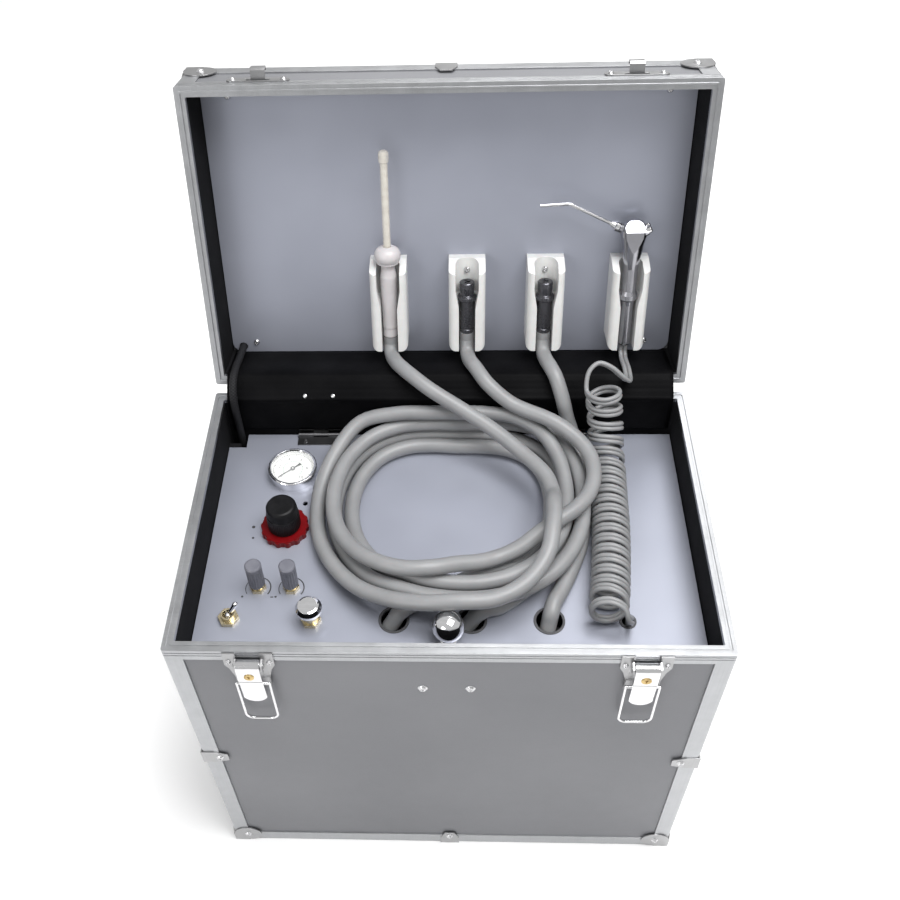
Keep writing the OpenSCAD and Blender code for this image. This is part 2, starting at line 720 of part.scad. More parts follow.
module control_panel() {
  x = case_w / 2 - wall - panel_fit;
  color([0.72, 0.73, 0.76]) difference() {
    box([-x, panel_front, panel_z - panel_t], [x, panel_back, panel_z]);
    box([-x - 1, panel_back - tube_notch, panel_z - 9], [-x + tube_notch, panel_back + 1, panel_z + 1]);
    for (i = [0:3]) on_panel(outlets[i], outlet_y) translate([0, 0, -9])
      cylinder(r = (i < 3 ? outlet_r : cord_hole_r) + grommet_t, h = 12);
    on_panel(gauge_x, gauge_y) translate([0, 0, -9]) cylinder(r = gauge_r - 2, h = 12);
    on_panel(regulator_x, regulator_y) translate([0, 0, -9]) cylinder(r = 11, h = 12);
    for (x = water_x) on_panel(x, water_y) translate([0, 0, -9]) cylinder(r = 4, h = 12);
    on_panel(toggle_x, toggle_y) translate([0, 0, -9]) cylinder(r = 5, h = 12);
    on_panel(change_x, change_y) translate([0, 0, -9]) cylinder(r = 5, h = 12);
    on_panel(pull_x, pull_y) translate([0, 0, -9]) cylinder(r = 2.5, h = 12);
    on_panel(set_screw[0], set_screw[1]) translate([0, 0, -9]) cylinder(r = 2.1, h = 12);
    for (hx = hinge_plates_x) box([hx - hinge_plate_w / 2 - 0.6, panel_axis_y - 2.6, panel_z - 9],
                                  [hx + hinge_plate_w / 2 + 0.6, panel_back + 1, panel_z + 1]);
  }
}

pin_r = 0.9;
barrel_r = panel_axis_z + 0.1;
// three knuckles a hinge: the outer two and the leaf on the panel, the middle one on the case
module panel_barrel(x0, x1) {
  rod_x([x0, panel_axis_y, panel_z + panel_axis_z], barrel_r, x1 - x0);
}
module panel_hinge_leaves() {
  w = hinge_plate_w / 2;
  color([0.25, 0.25, 0.26]) for (hx = hinge_plates_x) translate([hx, 0, 0]) {
    box([-w, panel_axis_y - 11, panel_z], [w, panel_axis_y - barrel_r - 0.6, panel_z + 1]);
    for (s = [-1, 1]) {
      difference() {
        union() {
          panel_barrel(s > 0 ? w / 3 + 0.2 : -w, s > 0 ? w : -w / 3 - 0.2);
          box([s > 0 ? w / 3 + 0.2 : -w, panel_axis_y - barrel_r - 1, panel_z],
              [s > 0 ? w : -w / 3 - 0.2, panel_axis_y, panel_z + 1]);
        }
        translate([-w - 1, panel_axis_y, panel_z + panel_axis_z]) rotate([0, 90, 0])
          cylinder(r = pin_r + 0.05, h = 2 * w + 2);
      }
      translate([s * w * 0.66, panel_axis_y - 7, panel_z + 1]) screw(2.3);
    }
  }
}
module panel_hinge_base() {
  w = hinge_plate_w / 2;
  back = case_d - wall;
  color([0.25, 0.25, 0.26]) for (hx = hinge_plates_x) translate([hx, 0, 0]) {
    panel_barrel(-w / 3, w / 3);
    rod_x([-w, panel_axis_y, panel_z + panel_axis_z], pin_r, 2 * w);
    box([-w / 3, panel_axis_y, panel_z + panel_axis_z + 0.6],
      [w / 3, back, panel_z + panel_axis_z + barrel_r - eps]);
    box([-w, back - 1, panel_z - 10], [w, back, panel_z + panel_axis_z + barrel_r - eps]);
  }
}

// chrome lifting knob turned in one piece: foot, neck and ball
module pull_knob() {
  c = pull_h - pull_r;
  color([0.85, 0.85, 0.86]) on_panel(pull_x, pull_y) {
    rotate_extrude() polygon([[0, 0], [6.4, 0], [6.4, 1.4], [5.2, 2.2], [4.4, 4.4], [4.4, c - pull_r + 2],
                              [0, c - pull_r + 2]]);
    translate([0, 0, c]) sphere(r = pull_r, $fn = 64);
    translate([0, 0, -panel_t - 3]) cylinder(r = 2.3, h = panel_t + 4);
    translate([0, 0, -panel_t - 3]) cylinder(r = 5, h = 3);
  }
}

// Pressure gauge --------------------------------------------------------------------------------

gauge_wall = 1.6;
module gauge_case() {
  r = gauge_r;
  color([0.82, 0.83, 0.84]) on_panel(gauge_x, gauge_y) {
    rotate_extrude($fn = 72) polygon([
      [0, -24], [r - 3, -24], [r - 3, 0], [r - 0.9, 0], [r - 0.9, gauge_h - 4], [r, gauge_h - 3.4],
        [r, gauge_h - 0.8],
      [r - 0.9, gauge_h], [r - gauge_wall - 0.6, gauge_h], [r - gauge_wall - 1.2, gauge_h - 1.2],
      [r - gauge_wall - 1.2, gauge_h - 4.6], [0, gauge_h - 4.6]]);
    translate([0, 0, -34]) cylinder(r = 4.5, h = 10);
  }
}
dial_r = gauge_r - gauge_wall - 1.3;
module gauge_dial() {
  color([0.95, 0.95, 0.94]) on_panel(gauge_x, gauge_y) translate([0, 0, gauge_h - 4.6]) {
    cylinder(r = dial_r, h = 0.6, $fn = 72);
    cylinder(r = 0.7, h = 2.2);
  }
}
// pointer on its hub, with a counterweight; it rests at the low end of the scale
needle_rest = -140;
module gauge_needle() {
  color([0.08, 0.08, 0.08]) on_panel(gauge_x, gauge_y) translate([0, 0, gauge_h - 3.4]) rotate(needle_rest) {
    difference() {
      union() {
        cylinder(r = 2, h = 0.7);
        linear_extrude(0.5) polygon([[-8, -1.1], [-3, -0.6], [dial_r - 3, -0.25], [dial_r - 3, 0.25],
          [-3, 0.6], [-8, 1.1]]);
      }
      translate([0, 0, -1]) cylinder(r = 0.75, h = 3);
    }
  }
}
module gauge_glass() {
  color([0.9, 0.95, 0.97, 0.3]) on_panel(gauge_x, gauge_y) translate([0, 0, gauge_h - 2.1])
    cylinder(r = dial_r, h = 0.9, $fn = 72);
}
echo(str("JOINT needle ", [gauge_x, gauge_y - mid_y, panel_z + gauge_h - 3]));

// Air regulator ---------------------------------------------------------------------------------

ring_h = 6;
knob_lift = 3;
stem_r = 4;
// ring nut with bumps round its edge, screwed down on the panel
module regulator_ring() {
  color([0.75, 0.06, 0.07]) on_panel(regulator_x, regulator_y) difference() {
    union() {
      cylinder(r = ring_r - 1.2, h = ring_h, $fn = 72);
      for (i = [0:ring_bumps - 1]) rotate(i * 360 / ring_bumps) translate([ring_r - 3.2, 0, 0])
        cylinder(r = 3.2, h = ring_h - 0.8);
    }
    translate([0, 0, -1]) cylinder(r = 11.1, h = ring_h + 2);
  }
}
module regulator_stem() {
  color([0.7, 0.7, 0.7]) on_panel(regulator_x, regulator_y) translate([0, 0, -6])
    cylinder(r = stem_r, h = knob_top - 2);
}
// black knob: cylinder with a domed shoulder, a step near its top and fine grip ribs
module regulator_knob() {
  z0 = ring_h + 0.3;
  r = knob_r;
  color([0.05, 0.05, 0.05]) on_panel(regulator_x, regulator_y) difference() {
    union() {
      rotate_extrude($fn = 72) polygon([
        [0, z0], [r - 0.3, z0], [r, z0 + 0.6], [r, knob_top - 10.5], [r - 0.5, knob_top - 10],
        [r - 0.5, knob_top - 9.4], [r - 0.2, knob_top - 9], [r - 0.9, knob_top - 2.4],
          [r - 2, knob_top - 0.7],
        [r - 3.6, knob_top], [0, knob_top]]);
      for (i = [0:47]) rotate(i * 7.5) translate([r - 0.25, 0, z0 + 1])
        cylinder(r = 0.5, h = knob_top - 13 - z0, $fn = 6);
    }
    translate([0, 0, -7]) cylinder(r = stem_r + 0.06, h = knob_top - 1 + knob_lift);
  }
}

// what hangs under the panel: regulator and valve bodies and the hose block, each against the sheet
// directions in which the first three hoses leave their holes, and their bend back to the block's nipples
leave = [34, 26, 72];
nipple_back = 8;
block_h = 14;
block_gap = 19;
nipples = [for (i = [0:3]) outlets[i] - (i < 3 ? nipple_back * cos(leave[i]) : 0)];
module valve_gear() {
  color([0.35, 0.36, 0.38]) translate([0, 0, panel_z - panel_t]) {
    translate([regulator_x, regulator_y, 0]) difference() {
      union() {
        translate([0, 0, -34]) cylinder(r = 17, h = 34);
        cylinder(r = 10.9, h = panel_t + ring_h - 2.4);
        translate([-27, -9, -30]) cube([54, 18, 18]);
      }
      translate([0, 0, -8]) cylinder(r = stem_r + 0.06, h = 30);
    }
    for (x = water_x) translate([x, water_y, -20]) cylinder(r = 8, h = 20);
    translate([toggle_x, toggle_y, -26]) cylinder(r = 9, h = 26);
    translate([change_x, change_y, -26]) cylinder(r = 9, h = 26);
    difference() {
      union() {
        for (x = [block_x[0], block_x[1] - 3]) translate([x, outlet_y - 16, -block_gap - block_h])
          cube([3, 18, block_gap + block_h]);
        translate([block_x[0], outlet_y - 16, -block_gap - block_h])
          cube([block_x[1] - block_x[0], 24, block_h]);
      }
    }
  }
}

// Water, air and changeover valves ----------------------------------------------------------------

water_nut_h = 6;
water_stem_r = 2.5;
change_r = 10;
change_bore = -1;                     // floor of the bore that the button's stem runs in
bat_r = 1.6;
module valve_bodies() {
  color([0.78, 0.7, 0.5]) {
    for (x = water_x) on_panel(x, water_y) {
      cylinder(r = 6.6, h = 3.5, $fn = 6);
      cylinder(r = 5, h = water_nut_h);
      translate([0, 0, -panel_t]) cylinder(r = 3.9, h = water_nut_h);
      cylinder(r = water_stem_r, h = water_nut_h + 14);
    }
    on_panel(toggle_x, toggle_y) difference() {
      union() {
        cylinder(r = 8.2, h = 3.4, $fn = 6);
        cylinder(r = 5.2, h = 7);
        translate([0, 0, -panel_t]) cylinder(r = 4.9, h = 5);
      }
      translate([0, 0, 1.4]) cylinder(r = 3.9, h = 8);
    }
    on_panel(change_x, change_y) difference() {
      union() {
        cylinder(r = 8, h = 3.5, $fn = 6);
        cylinder(r = 6, h = 9);
        translate([0, 0, -panel_t]) cylinder(r = 4.9, h = 5);
      }
      translate([0, 0, change_bore]) cylinder(r = 3.1, h = 20);
    }
  }
}

module water_knob(x) {
  color([0.45, 0.46, 0.5]) on_panel(x, water_y) difference() {
    union() {
      translate([0, 0, water_nut_h + 0.3]) cylinder(r = water_r - 0.6, h = water_h - water_nut_h - 3.3);
      translate([0, 0, water_h - 4]) cylinder(r = water_r, h = 3);
      translate([0, 0, water_h - 1]) cylinder(r1 = water_r, r2 = water_r - 1, h = 1);
      for (i = [0:flutes - 1]) rotate(i * 360 / flutes) translate([water_r - 0.85, 0, water_nut_h + 0.3])
        cylinder(r = 0.75, h = water_h - water_nut_h - 3.4, $fn = 8);
    }
    cylinder(r = water_stem_r + 0.06, h = water_nut_h + 14.1);
  }
}
module water_knob_left() { water_knob(water_x[0]); }
module water_knob_right() { water_knob(water_x[1]); }

// bat lever leaning right; its ball sits in the cup of the nut
module toggle_lever() {
  color([0.8, 0.8, 0.8]) on_panel(toggle_x, toggle_y) translate([0, 0, 4.6])
    rotate([0, toggle_lean * 1.6, 24]) {
    sphere(r = 3);
    rotate([90, 0, 0]) cylinder(r = 1, h = 7, center = true);
    cylinder(r1 = 1.3, r2 = bat_r + 0.5, h = 13);
    translate([0, 0, 13]) sphere(r = bat_r + 0.5);
  }
}
echo(str("JOINT toggle ", [toggle_x, toggle_y - mid_y, panel_z + 4.6]));

// push-pull button: bright cap with a bevelled edge on a stem that runs in the brass body
module changeover_knob() {
  top = 22;
  z0 = 9 + change_travel;
  end = change_bore + change_travel + 0.3;
  color([0.88, 0.88, 0.9]) on_panel(change_x, change_y) rotate_extrude() polygon([
    [0, end], [3, end], [3, z0], [change_r - 2.4, z0], [change_r - 0.4, z0 + 1.6], [change_r, top - 4],
    [change_r - 2, top - 0.6], [change_r - 3.4, top], [0, top]]);
}

module grommets() {
  color([0.06, 0.06, 0.06]) for (i = [0:3]) on_panel(outlets[i], outlet_y) {
    r = i < 3 ? outlet_r : cord_hole_r;
    difference() {
      union() {
        cylinder(r = r + 1.8, h = 0.6);
        translate([0, 0, -panel_t]) cylinder(r = r + grommet_t - 0.05, h = panel_t + 0.5);
      }
      translate([0, 0, -9]) cylinder(r = r, h = 12);
    }
  }
}

// Tool holders ------------------------------------------------------------------------------------

socket_z = holder_l - 29;             // floor of the socket above the holder's lower end
shoulder_h = 6;
holder_screw_r = 2.6;
// the screw's head rests on the socket's curved wall along its two sides
holder_screw_seat = tool_out - sqrt(socket_r * socket_r - holder_screw_r * holder_screw_r) + 0.05;
// a trough open to the front: a wide socket above, a slot below, shoulders between them
module holder() {
  w = holder_w / 2;
  difference() {
    intersection() {
      linear_extrude(holder_l) {
        translate([-w, -holder_d + 5]) square([2 * w, holder_d - 5]);
        translate([-w + 5, -holder_d]) square([2 * w - 10, holder_d]);
        for (x = [-1, 1]) translate([x * (w - 5), -holder_d + 5]) circle(5);
      }
      translate([0, 1, 0]) rotate([90, 0, 0]) linear_extrude(holder_d + 2) {
        translate([-w, 6]) square([2 * w, holder_l - 6]);
        translate([-w + 6, 0]) square([2 * w - 12, holder_l]);
        for (x = [-1, 1]) translate([x * (w - 6), 6]) circle(6);
      }
    }
    translate([0, -tool_out, 0]) rotate_extrude() polygon([
      [0, -1], [slot_r, -1], [slot_r, socket_z - shoulder_h], [socket_r, socket_z],
      [socket_r, holder_l + 1], [0, holder_l + 1]]);
    // the front opening follows the slot, its shoulders and the socket
    translate([0, -tool_out, 0]) rotate([90, 0, 0]) linear_extrude(holder_d) polygon([
      [-slot_r + 0.1, -1], [-slot_r + 0.1, socket_z - shoulder_h - 3], [-slot_r - 1, socket_z - 2],
      [0.1 - socket_r, socket_z + 7], [0.1 - socket_r, holder_l + 1], [socket_r - 0.1, holder_l + 1],
      [socket_r - 0.1, socket_z + 7], [slot_r + 1, socket_z - 2], [slot_r - 0.1, socket_z - shoulder_h - 3],
      [slot_r - 0.1, -1]]);
    // the lobes' tops slope to the front
    translate([0, 0, holder_l]) bar_x(holder_w + 2)
      polygon([[-8, 0.01], [-holder_d - 1, -7], [-holder_d - 1, 5], [-8, 5]]);
    translate([0, 0, holder_l - 11]) rotate([90, 0, 0]) cylinder(r = 1.5, h = holder_d);
  }
}
module tool_holders() {
  color([0.93, 0.93, 0.91]) for (x = holders) on_lid(x, holder_s) holder();
}

// Tools -------------------------------------------------------------------------------------------
// Each is drawn along its own axis, s measured up the lid, standing in its holder.

module at_tool(i, s = 0) { on_lid(holders[i], s, tool_out) children(); }

seat_s = holder_s + socket_z;         // floor of the sockets
top_s = holder_s + holder_l;          // tops of the holders
// a tool's seat ring lies on the shoulder of its socket
seat_rise = 1.9;
seat_r = slot_r + (socket_r - slot_r) * seat_rise / shoulder_h - 0.05;
suction_end = 33;
suction_rubber = 8;
module suction_handpiece() {
  r = suction_d / 2;
  c = suction_cap_d / 2;
  bore = ejector_d / 2 + 0.05;
  rubber = suction_end + suction_rubber;  // top of the dark rubber end that grips the hose
  color([0.9, 0.88, 0.86]) at_tool(0) rotate_extrude() polygon(concat(
    [[0, suction_end], [r - 1.5, suction_end], [r - 1.1, suction_end + 1], [r - 1.4, rubber],
      [r - 1.2, rubber],
     [r - 1, rubber + 1.4], [slot_r - 0.5, seat_s - shoulder_h], [r - 0.2, top_s - 12], [r - 1.4, top_s - 5],
     [r - 1.4, top_s + 0.1], [c - 2, top_s + 0.1]],
    [for (a = [-50:10:70]) [(c - 6) + 6 * cos(a), top_s + 6.6 + 7 * sin(a)]],
    [[bore + 1.4, top_s + 14.4], [bore, top_s + 14.2], [bore, ejector_s], [0, ejector_s]]));
}

// clear tube with its formed end cap, and along its bore the copper wire that keeps its bend
ejector_s = top_s + 8;
wire_r = 0.6;
module ejector_tip() {
  r = ejector_d / 2;
  e = ejector_l + 4;
  at_tool(0, ejector_s) {
    color([0.88, 0.92, 0.93, 0.45]) rotate_extrude() polygon([
      [r - 0.9, 0], [r, 0], [r, e - 6], [r + 1, e - 5], [r + 1.1, e + 1], [r + 0.3, e + 3.2], [r - 1, e + 4],
      [0, e + 4], [0, e + 3], [r - 0.9, e + 2]]);
    color([0.72, 0.42, 0.24]) translate([r - 0.9 - wire_r, 0, 0]) cylinder(r = wire_r, h = ejector_l);
  }
}

connector_s = 36.5;
module connector(i) {
  r = connector_d / 2;
  l = connector_l;
  s0 = seat_s - shoulder_h - connector_s;
  color([0.62, 0.63, 0.65]) at_tool(i, connector_s) difference() {
    rotate_extrude() polygon([
      [0, 0], [r - 0.2, 0], [r, 0.4], [r, 3], [r - 0.5, 3.4], [r - 0.5, 4.6], [r, 5],
        [r, s0 + seat_rise - 1.6],
      [seat_r, s0 + seat_rise], [seat_r, s0 + seat_rise + 3], [r, s0 + seat_rise + 4.4], [r, l - 12],
        [r + 0.6, l - 5],
      [r + 0.6, l - 0.6], [r, l], [0, l]]);
    // drive and exhaust ports in the end
    for (a = [[0, 1.2, 1.5], [120, 2.6, 1], [240, 2.6, 1]]) rotate(a[0]) translate([a[1], 0, l - 5])
      cylinder(r = a[2], h = 9);
  }
}
module connector_left() { connector(1); }
module connector_right() { connector(2); }

// syringe: turned handle that widens into a head, whose front and sides are cut flat
syringe_s = 24;
head_top = 135;
nozzle_from = [-12, 129];             // collar's middle, across from the syringe's axis and up the lid
nozzle_bend = [-53, 149];
nozzle_tip = [-76, 147.6];
nozzle_angle = atan2(nozzle_bend[1] - nozzle_from[1], nozzle_bend[0] - nozzle_from[0]);
button_r = 3;
button_angle = 28;
button_at = [7.6, 126.5];
button_gap = 4.2;                     // of each button from the syringe's middle plane
module syringe_body() {
  r = syringe_d / 2;
  h = syringe_head_w / 2;
  color([0.75, 0.76, 0.77]) at_tool(3) difference() {
    union() {
      rotate_extrude($fn = 72) polygon([
        [0, syringe_s], [r - 0.8, syringe_s], [r, syringe_s + 1.2], [r, seat_s - shoulder_h - 4],
        [r + 0.5, seat_s - shoulder_h], [seat_r, seat_s - shoulder_h + seat_rise], [seat_r, seat_s],
        [r + 1, seat_s + 3], [r + 1, 94], [r + 2, 103], [h - 2.2, 114], [h - 0.4, 122], [h - 0.2, 127],
        [h - 1.4, 130.5], [h - 4, 133.4], [h - 7, head_top], [0, head_top]]);
      translate([nozzle_from[0], 0, nozzle_from[1]]) rotate([0, 90 - nozzle_angle, 0]) translate([0, 0, -8])
        cylinder(r = 4.2, h = 8);
      for (s = [-1, 1]) translate([button_at[0], s * button_gap, button_at[1]])
        rotate([0, 90 - button_angle, 0])
        cylinder(r = button_r + 0.9, h = 3.2);
    }
    // flats on the front and back of the head
    for (s = [-1, 1]) translate([-20, s > 0 ? 8.2 : -28.2, 96]) cube([40, 20, 60]);
    // bevel towards the top front
    translate([0, -8.2, 127]) rotate([-38, 0, 0]) translate([-20, -20, 0]) cube([40, 20, 20]);
    for (s = [-1, 1]) translate([button_at[0], s * button_gap, button_at[1]])
      rotate([0, 90 - button_angle, 0]) {
      translate([0, 0, -6]) cylinder(r = button_r + 0.06, h = 20);
    }
    translate([nozzle_from[0], 0, nozzle_from[1]]) rotate([0, 90 - nozzle_angle, 0]) translate([0, 0, -6])
      cylinder(r = nozzle_d / 2 + 0.06, h = 20);
  }
}
// chrome nut and bent tube, turning together on the tube's first leg
module syringe_nozzle() {
  leg = norm(nozzle_bend - nozzle_from);
  tip = norm(nozzle_tip - nozzle_bend);
  bend = atan2(nozzle_tip[1] - nozzle_bend[1], nozzle_tip[0] - nozzle_bend[0]) - nozzle_angle + 360;
  bend_r = 9;
  lap = 0.3;
  cut = bend_r * tan(bend / 2);
  r = nozzle_d / 2;
  color([0.86, 0.86, 0.87]) at_tool(3) translate([nozzle_from[0], 0, nozzle_from[1]])
    rotate([0, 90 - nozzle_angle, 0]) {
    rotate_extrude() polygon([[0, 0.05], [3.6, 0.05], [4.4, 0.8], [4.4, 3.6], [3.2, 4.4], [2.4, 7.6],
      [r, 8.4], [0, 8.4]]);
    translate([0, 0, -4]) cylinder(r = r, h = leg + 4 - cut + lap);
    // the bend: an arc in the lid's plane, a trifle thicker than the legs that lap into it
    translate([-bend_r, 0, leg - cut]) rotate([90, 0, 0]) rotate_extrude(angle = bend)
      translate([bend_r, 0]) circle(r + 0.03);
    translate([0, 0, leg]) rotate([0, -bend, 0]) translate([0, 0, cut - lap])
      cylinder(r = r, h = tip - cut + lap);
  }
}
module syringe_button(s) {
  color([0.85, 0.85, 0.86]) at_tool(3) translate([button_at[0], s * button_gap, button_at[1]])
    rotate([0, 90 - button_angle, 0]) {
      translate([0, 0, -1.6]) cylinder(r = button_r, h = 3.2 + 1.6 + button_travel + 0.4);
      translate([0, 0, 3.2 + button_travel + 0.4]) cylinder(r1 = button_r, r2 = button_r - 0.9, h = 0.8);
    }
}
module button_air() { syringe_button(-1); }
module button_water() { syringe_button(1); }
function lid_world(x, s, h) = let (p = lid_point(lid_panel_drop - h, s)) [x, p[0] - mid_y, p[1]];
echo(str("JOINT tools ", lid_world(holders[0], seat_s, tool_out), " along ",
  [0, sin(lid_lean), cos(lid_lean)]));
echo(str("JOINT nozzle ", lid_world(holders[3] + nozzle_from[0], nozzle_from[1], tool_out), " axis ",
         [cos(nozzle_angle), sin(nozzle_angle) * sin(lid_lean), sin(nozzle_angle) * cos(lid_lean)]));
echo(str("JOINT button ", lid_world(holders[3] + button_at[0], button_at[1], tool_out), " axis ",
         [cos(button_angle), sin(button_angle) * sin(lid_lean), sin(button_angle) * cos(lid_lean)]));
echo(str("JOINT handle ", lid_world(0, handle_s, lid_panel_drop - lid_h - handle_out)));

// Supply gear in the base ---------------------------------------------------------------------------

floor_z = base_z + skin;
module bottles() {
  color([0.85, 0.88, 0.9]) for (x = [-140, -58]) translate([x, 62, floor_z]) {
    rotate_extrude() polygon([[0, 0], [34, 0], [36, 2], [36, 120], [33, 132], [18, 146], [17, 150],
      [17, 158], [0, 158]]);
    difference() {
      translate([0, 0, 156]) cylinder(r = 20, h = 18);
      for (i = [0:11]) rotate(i * 30) translate([20.5, 0, 150]) cylinder(r = 1.4, h = 30);
    }
    for (x = [-7, 7]) translate([x, 0, 170]) cylinder(r = 3, h = 14);
  }
}
// oil-free compressor: motor between two finned cylinder heads, on four rubber feet
module compressor() {
  color([0.3, 0.31, 0.33]) translate([40, 168, floor_z]) {
    translate([-95, -42, 14]) cube([190, 84, 6]);
    for (x = [-82, 82], y = [-32, 32]) translate([x, y, 0]) cylinder(r = 9, h = 14);
    rod_x([-52, 0, 62], 43, 104, $fn = 72);
    for (x = [-72, 72]) translate([x, 0, 0]) {
      translate([-22, -28, 19]) cube([44, 56, 70]);
      for (i = [0:7]) translate([-24, -31, 88 + i * 6]) cube([48, 62, 3]);
      translate([0, 0, 80]) cylinder(r = 23, h = 56);
      translate([-24, -31, 132]) cube([48, 62, 12]);
    }
  }
}

// Hoses and cords -----------------------------------------------------------------------------------
// A route is a list of points. A tube is one polyhedron swept along it.

function unit(v) = v / norm(v);
function across(v, t) = unit(v - (v * t) * t);
function tangents(p) = [for (i = [0:len(p) - 1]) unit(p[min(i + 1, len(p) - 1)] - p[max(i - 1, 0)])];
// normals carried along the route without twist, from a first one near the given direction
function carried(t, first) = [for (i = 0, n = across(first, t[0]); i < len(t); i = i + 1,
                                   n = i < len(t) ? across(n, t[i]) : n) n];
function part(list, a, b) = [for (i = [a:b]) list[i]];
// a smooth curve through points, k steps from each to the next but one step within the loops
function curve(p, k, from = 0, to = 0) = concat(
  [for (i = [0:len(p) - 2])
    let (steps = i >= from && i < to ? 1 : k, a = p[max(i - 1, 0)], b = p[i], c = p[i + 1],
         d = p[min(i + 2, len(p) - 1)], s = norm(c - b),
         m = (c - a) * s / (s + norm(b - a)), n = (d - b) * s / (s + norm(d - c)))
    for (j = [0:steps - 1]) let (u = j / steps)
      b * (2 * u * u * u - 3 * u * u + 1) + m * (u * u * u - 2 * u * u + u)
      + c * (3 * u * u - 2 * u * u * u) + n * (u * u * u - u * u)],
  [p[len(p) - 1]]);

module tube(p, t, n, profile) {
  m = len(profile);
  rings = [for (i = [0:len(p) - 1], q = profile) p[i] + q[0] * n[i] + q[1] * cross(t[i], n[i])];
  last = (len(p) - 1) * m;
  polyhedron(points = rings, faces = concat(
    [for (i = [0:len(p) - 2], j = [0:m - 1], f = [0, 1])
      let (a = i * m + j, b = i * m + (j + 1) % m) f == 0 ? [a, b, b + m] : [a, b + m, a + m]],
    [for (j = [1:m - 2]) [0, j + 1, j]], [for (j = [1:m - 2]) [last, last + j, last + j + 1]]));
}
function round_profile(r, sides) = [for (j = [0:sides - 1]) r * [cos(j * 360 / sides), sin(j * 360 / sides)]];

// least distance between routes, points against the other's steps; near neighbours on one route are skipped
function to_step(q, a, b) = let (u = max(0, min(1, (q - a) * (b - a) / ((b - a) * (b - a)))))
  norm(q - a - u * (b - a));
function apart(p, q, skip = -1) = min([for (i = [0:len(p) - 1], j = [0:len(q) - 2])
  if (skip < 0 || j > i + skip || j + 1 < i - skip) to_step(p[i], q[j], q[j + 1])]);

// The pile of hose loops. Rows give lane and layer of a strand at an angle, counted from the right side
// towards the back; lanes count outwards from pile_shape and layers count up from the panel.
pile_x = 8;
pile_y = 147.6;
lane_step = hose_d + 1.6;
layer_step = hose_d + 1;
pile_shape = [[-90, 76], [-45, 76], [0, 75], [45, 84], [90, 73.4], [135, 89], [180, 86], [225, 80], [270, 76],
              [315, 76], [360, 75], [405, 84], [450, 73.4]];
pile_1 = [[-60, -1, 0], [-30, -0.3, 0], [0, 0, 0], [90, 0, 0], [180, 0, 0], [220, 0, 0.3],
          [240, 0, 1.06], [270, 0, 1.06], [315, 0.45, 1.06], [345, 0.78, 1.03], [360, 0.85, 1],
          [375, 0.85, 1.12], [390, 0.9, 1.38], [405, 1, 1.75], [420, 1.02, 2], [450, 1, 2.03],
          [465, 0.95, 2.03], [480, 1.21, 1.97], [495, 1.95, 1.6], [507, 2, 1], [520, 2.03, 0.4],
          [540, 2.03, 0], [585, 2, 0.7], [605, 1.95, 1.5], [630, 1.8, 2.1], [650, 1.85, 2.1],
          [670, 1.45, 2.6], [682, 0.9, 3.02], [697, 0.3, 3.15], [708, 0.1, 2.9], [720, 0, 2.1]];
pile_2 = [[-45, 0.7, 0], [-20, 0.9, 0], [0, 0.97, 0], [45, 1, 0], [90, 0.97, 0], [105, 0.97, 0], [120, 1, 0],
          [180, 1, 0], [220, 1, 0.3], [240, 1, 1.06], [270, 1, 1.06], [315, 1.5, 1.06], [345, 1.75, 1.02],
          [360, 1.78, 1], [375, 1.8, 0.98], [390, 1.8, 0.98], [405, 1.7, 0.98], [420, 1.4, 0.98],
          [435, 1.07, 1], [450, 0.97, 1.01], [465, 0.96, 1.01], [540, 1, 1.02], [565, 0.9, 1.35],
          [585, 0.65, 1.85], [600, 0.35, 2.12], [615, -0.2, 2.12], [630, -0.8, 1.75], [662, -1, 1.2],
          [690, -0.15, 1.9]];
function slope(rows, i, k) = let (a = rows[max(i - 1, 0)],
  b = rows[min(i + 1, len(rows) - 1)]) (b[k] - a[k]) / (b[0] - a[0]);
function blend(rows, t, k) =
  let (i = max([for (j = [0:len(rows) - 2]) if (rows[j][0] <= t) j]), a = rows[i], b = rows[i + 1],
       d = b[0] - a[0], u = (t - a[0]) / d)
  a[k] * (2 * u * u * u - 3 * u * u + 1) + d * slope(rows, i, k) * (u * u * u - 2 * u * u + u)
  + b[k] * (3 * u * u - 2 * u * u * u) + d * slope(rows, i + 1, k) * (u * u * u - u * u);
function strand(rows, a) =
  let (turn = floor((a + 90) / 360) * 360, r = blend(pile_shape, a - turn, 1) + blend(rows, a, 1) * lane_step)
  [pile_x + r * cos(a), pile_y + r * sin(a), panel_z + hose_r + 0.2 + blend(rows, a, 2) * layer_step];
function loops(rows, from, to) = [for (a = [from:15:to]) strand(rows, a)];

// from the hose block a hose slants up through its hole, then lies along the panel
function outlet_run(i) =
  let (d = [cos(leave[i]), sin(leave[i]), 0], o = [outlets[i], outlet_y, panel_z], z = [0, 0, 1])
  [o - nipple_back * d - (panel_t + block_gap - 0.3) * z,
   o - nipple_back * d - (panel_t + block_gap - hose_r) * z,
   o - 5 * d - 6.8 * z, o - 0.7 * z, o + 4.3 * d + 4.8 * z, o + 12.5 * d + (hose_r + 0.9) * z];
// the last points before a tool's end, one hose diameter along the tool's axis
function lid_spot(x, s, h) = let (p = lid_point(lid_panel_drop - h, s)) [x, p[0], p[1]];
function tool_run(i, s) = [for (back = [8, 4, 0.3]) lid_spot(holders[i], s - back, tool_out)];
// a point above the control panel
function over(p) = [p[0], p[1], panel_z + p[2]];

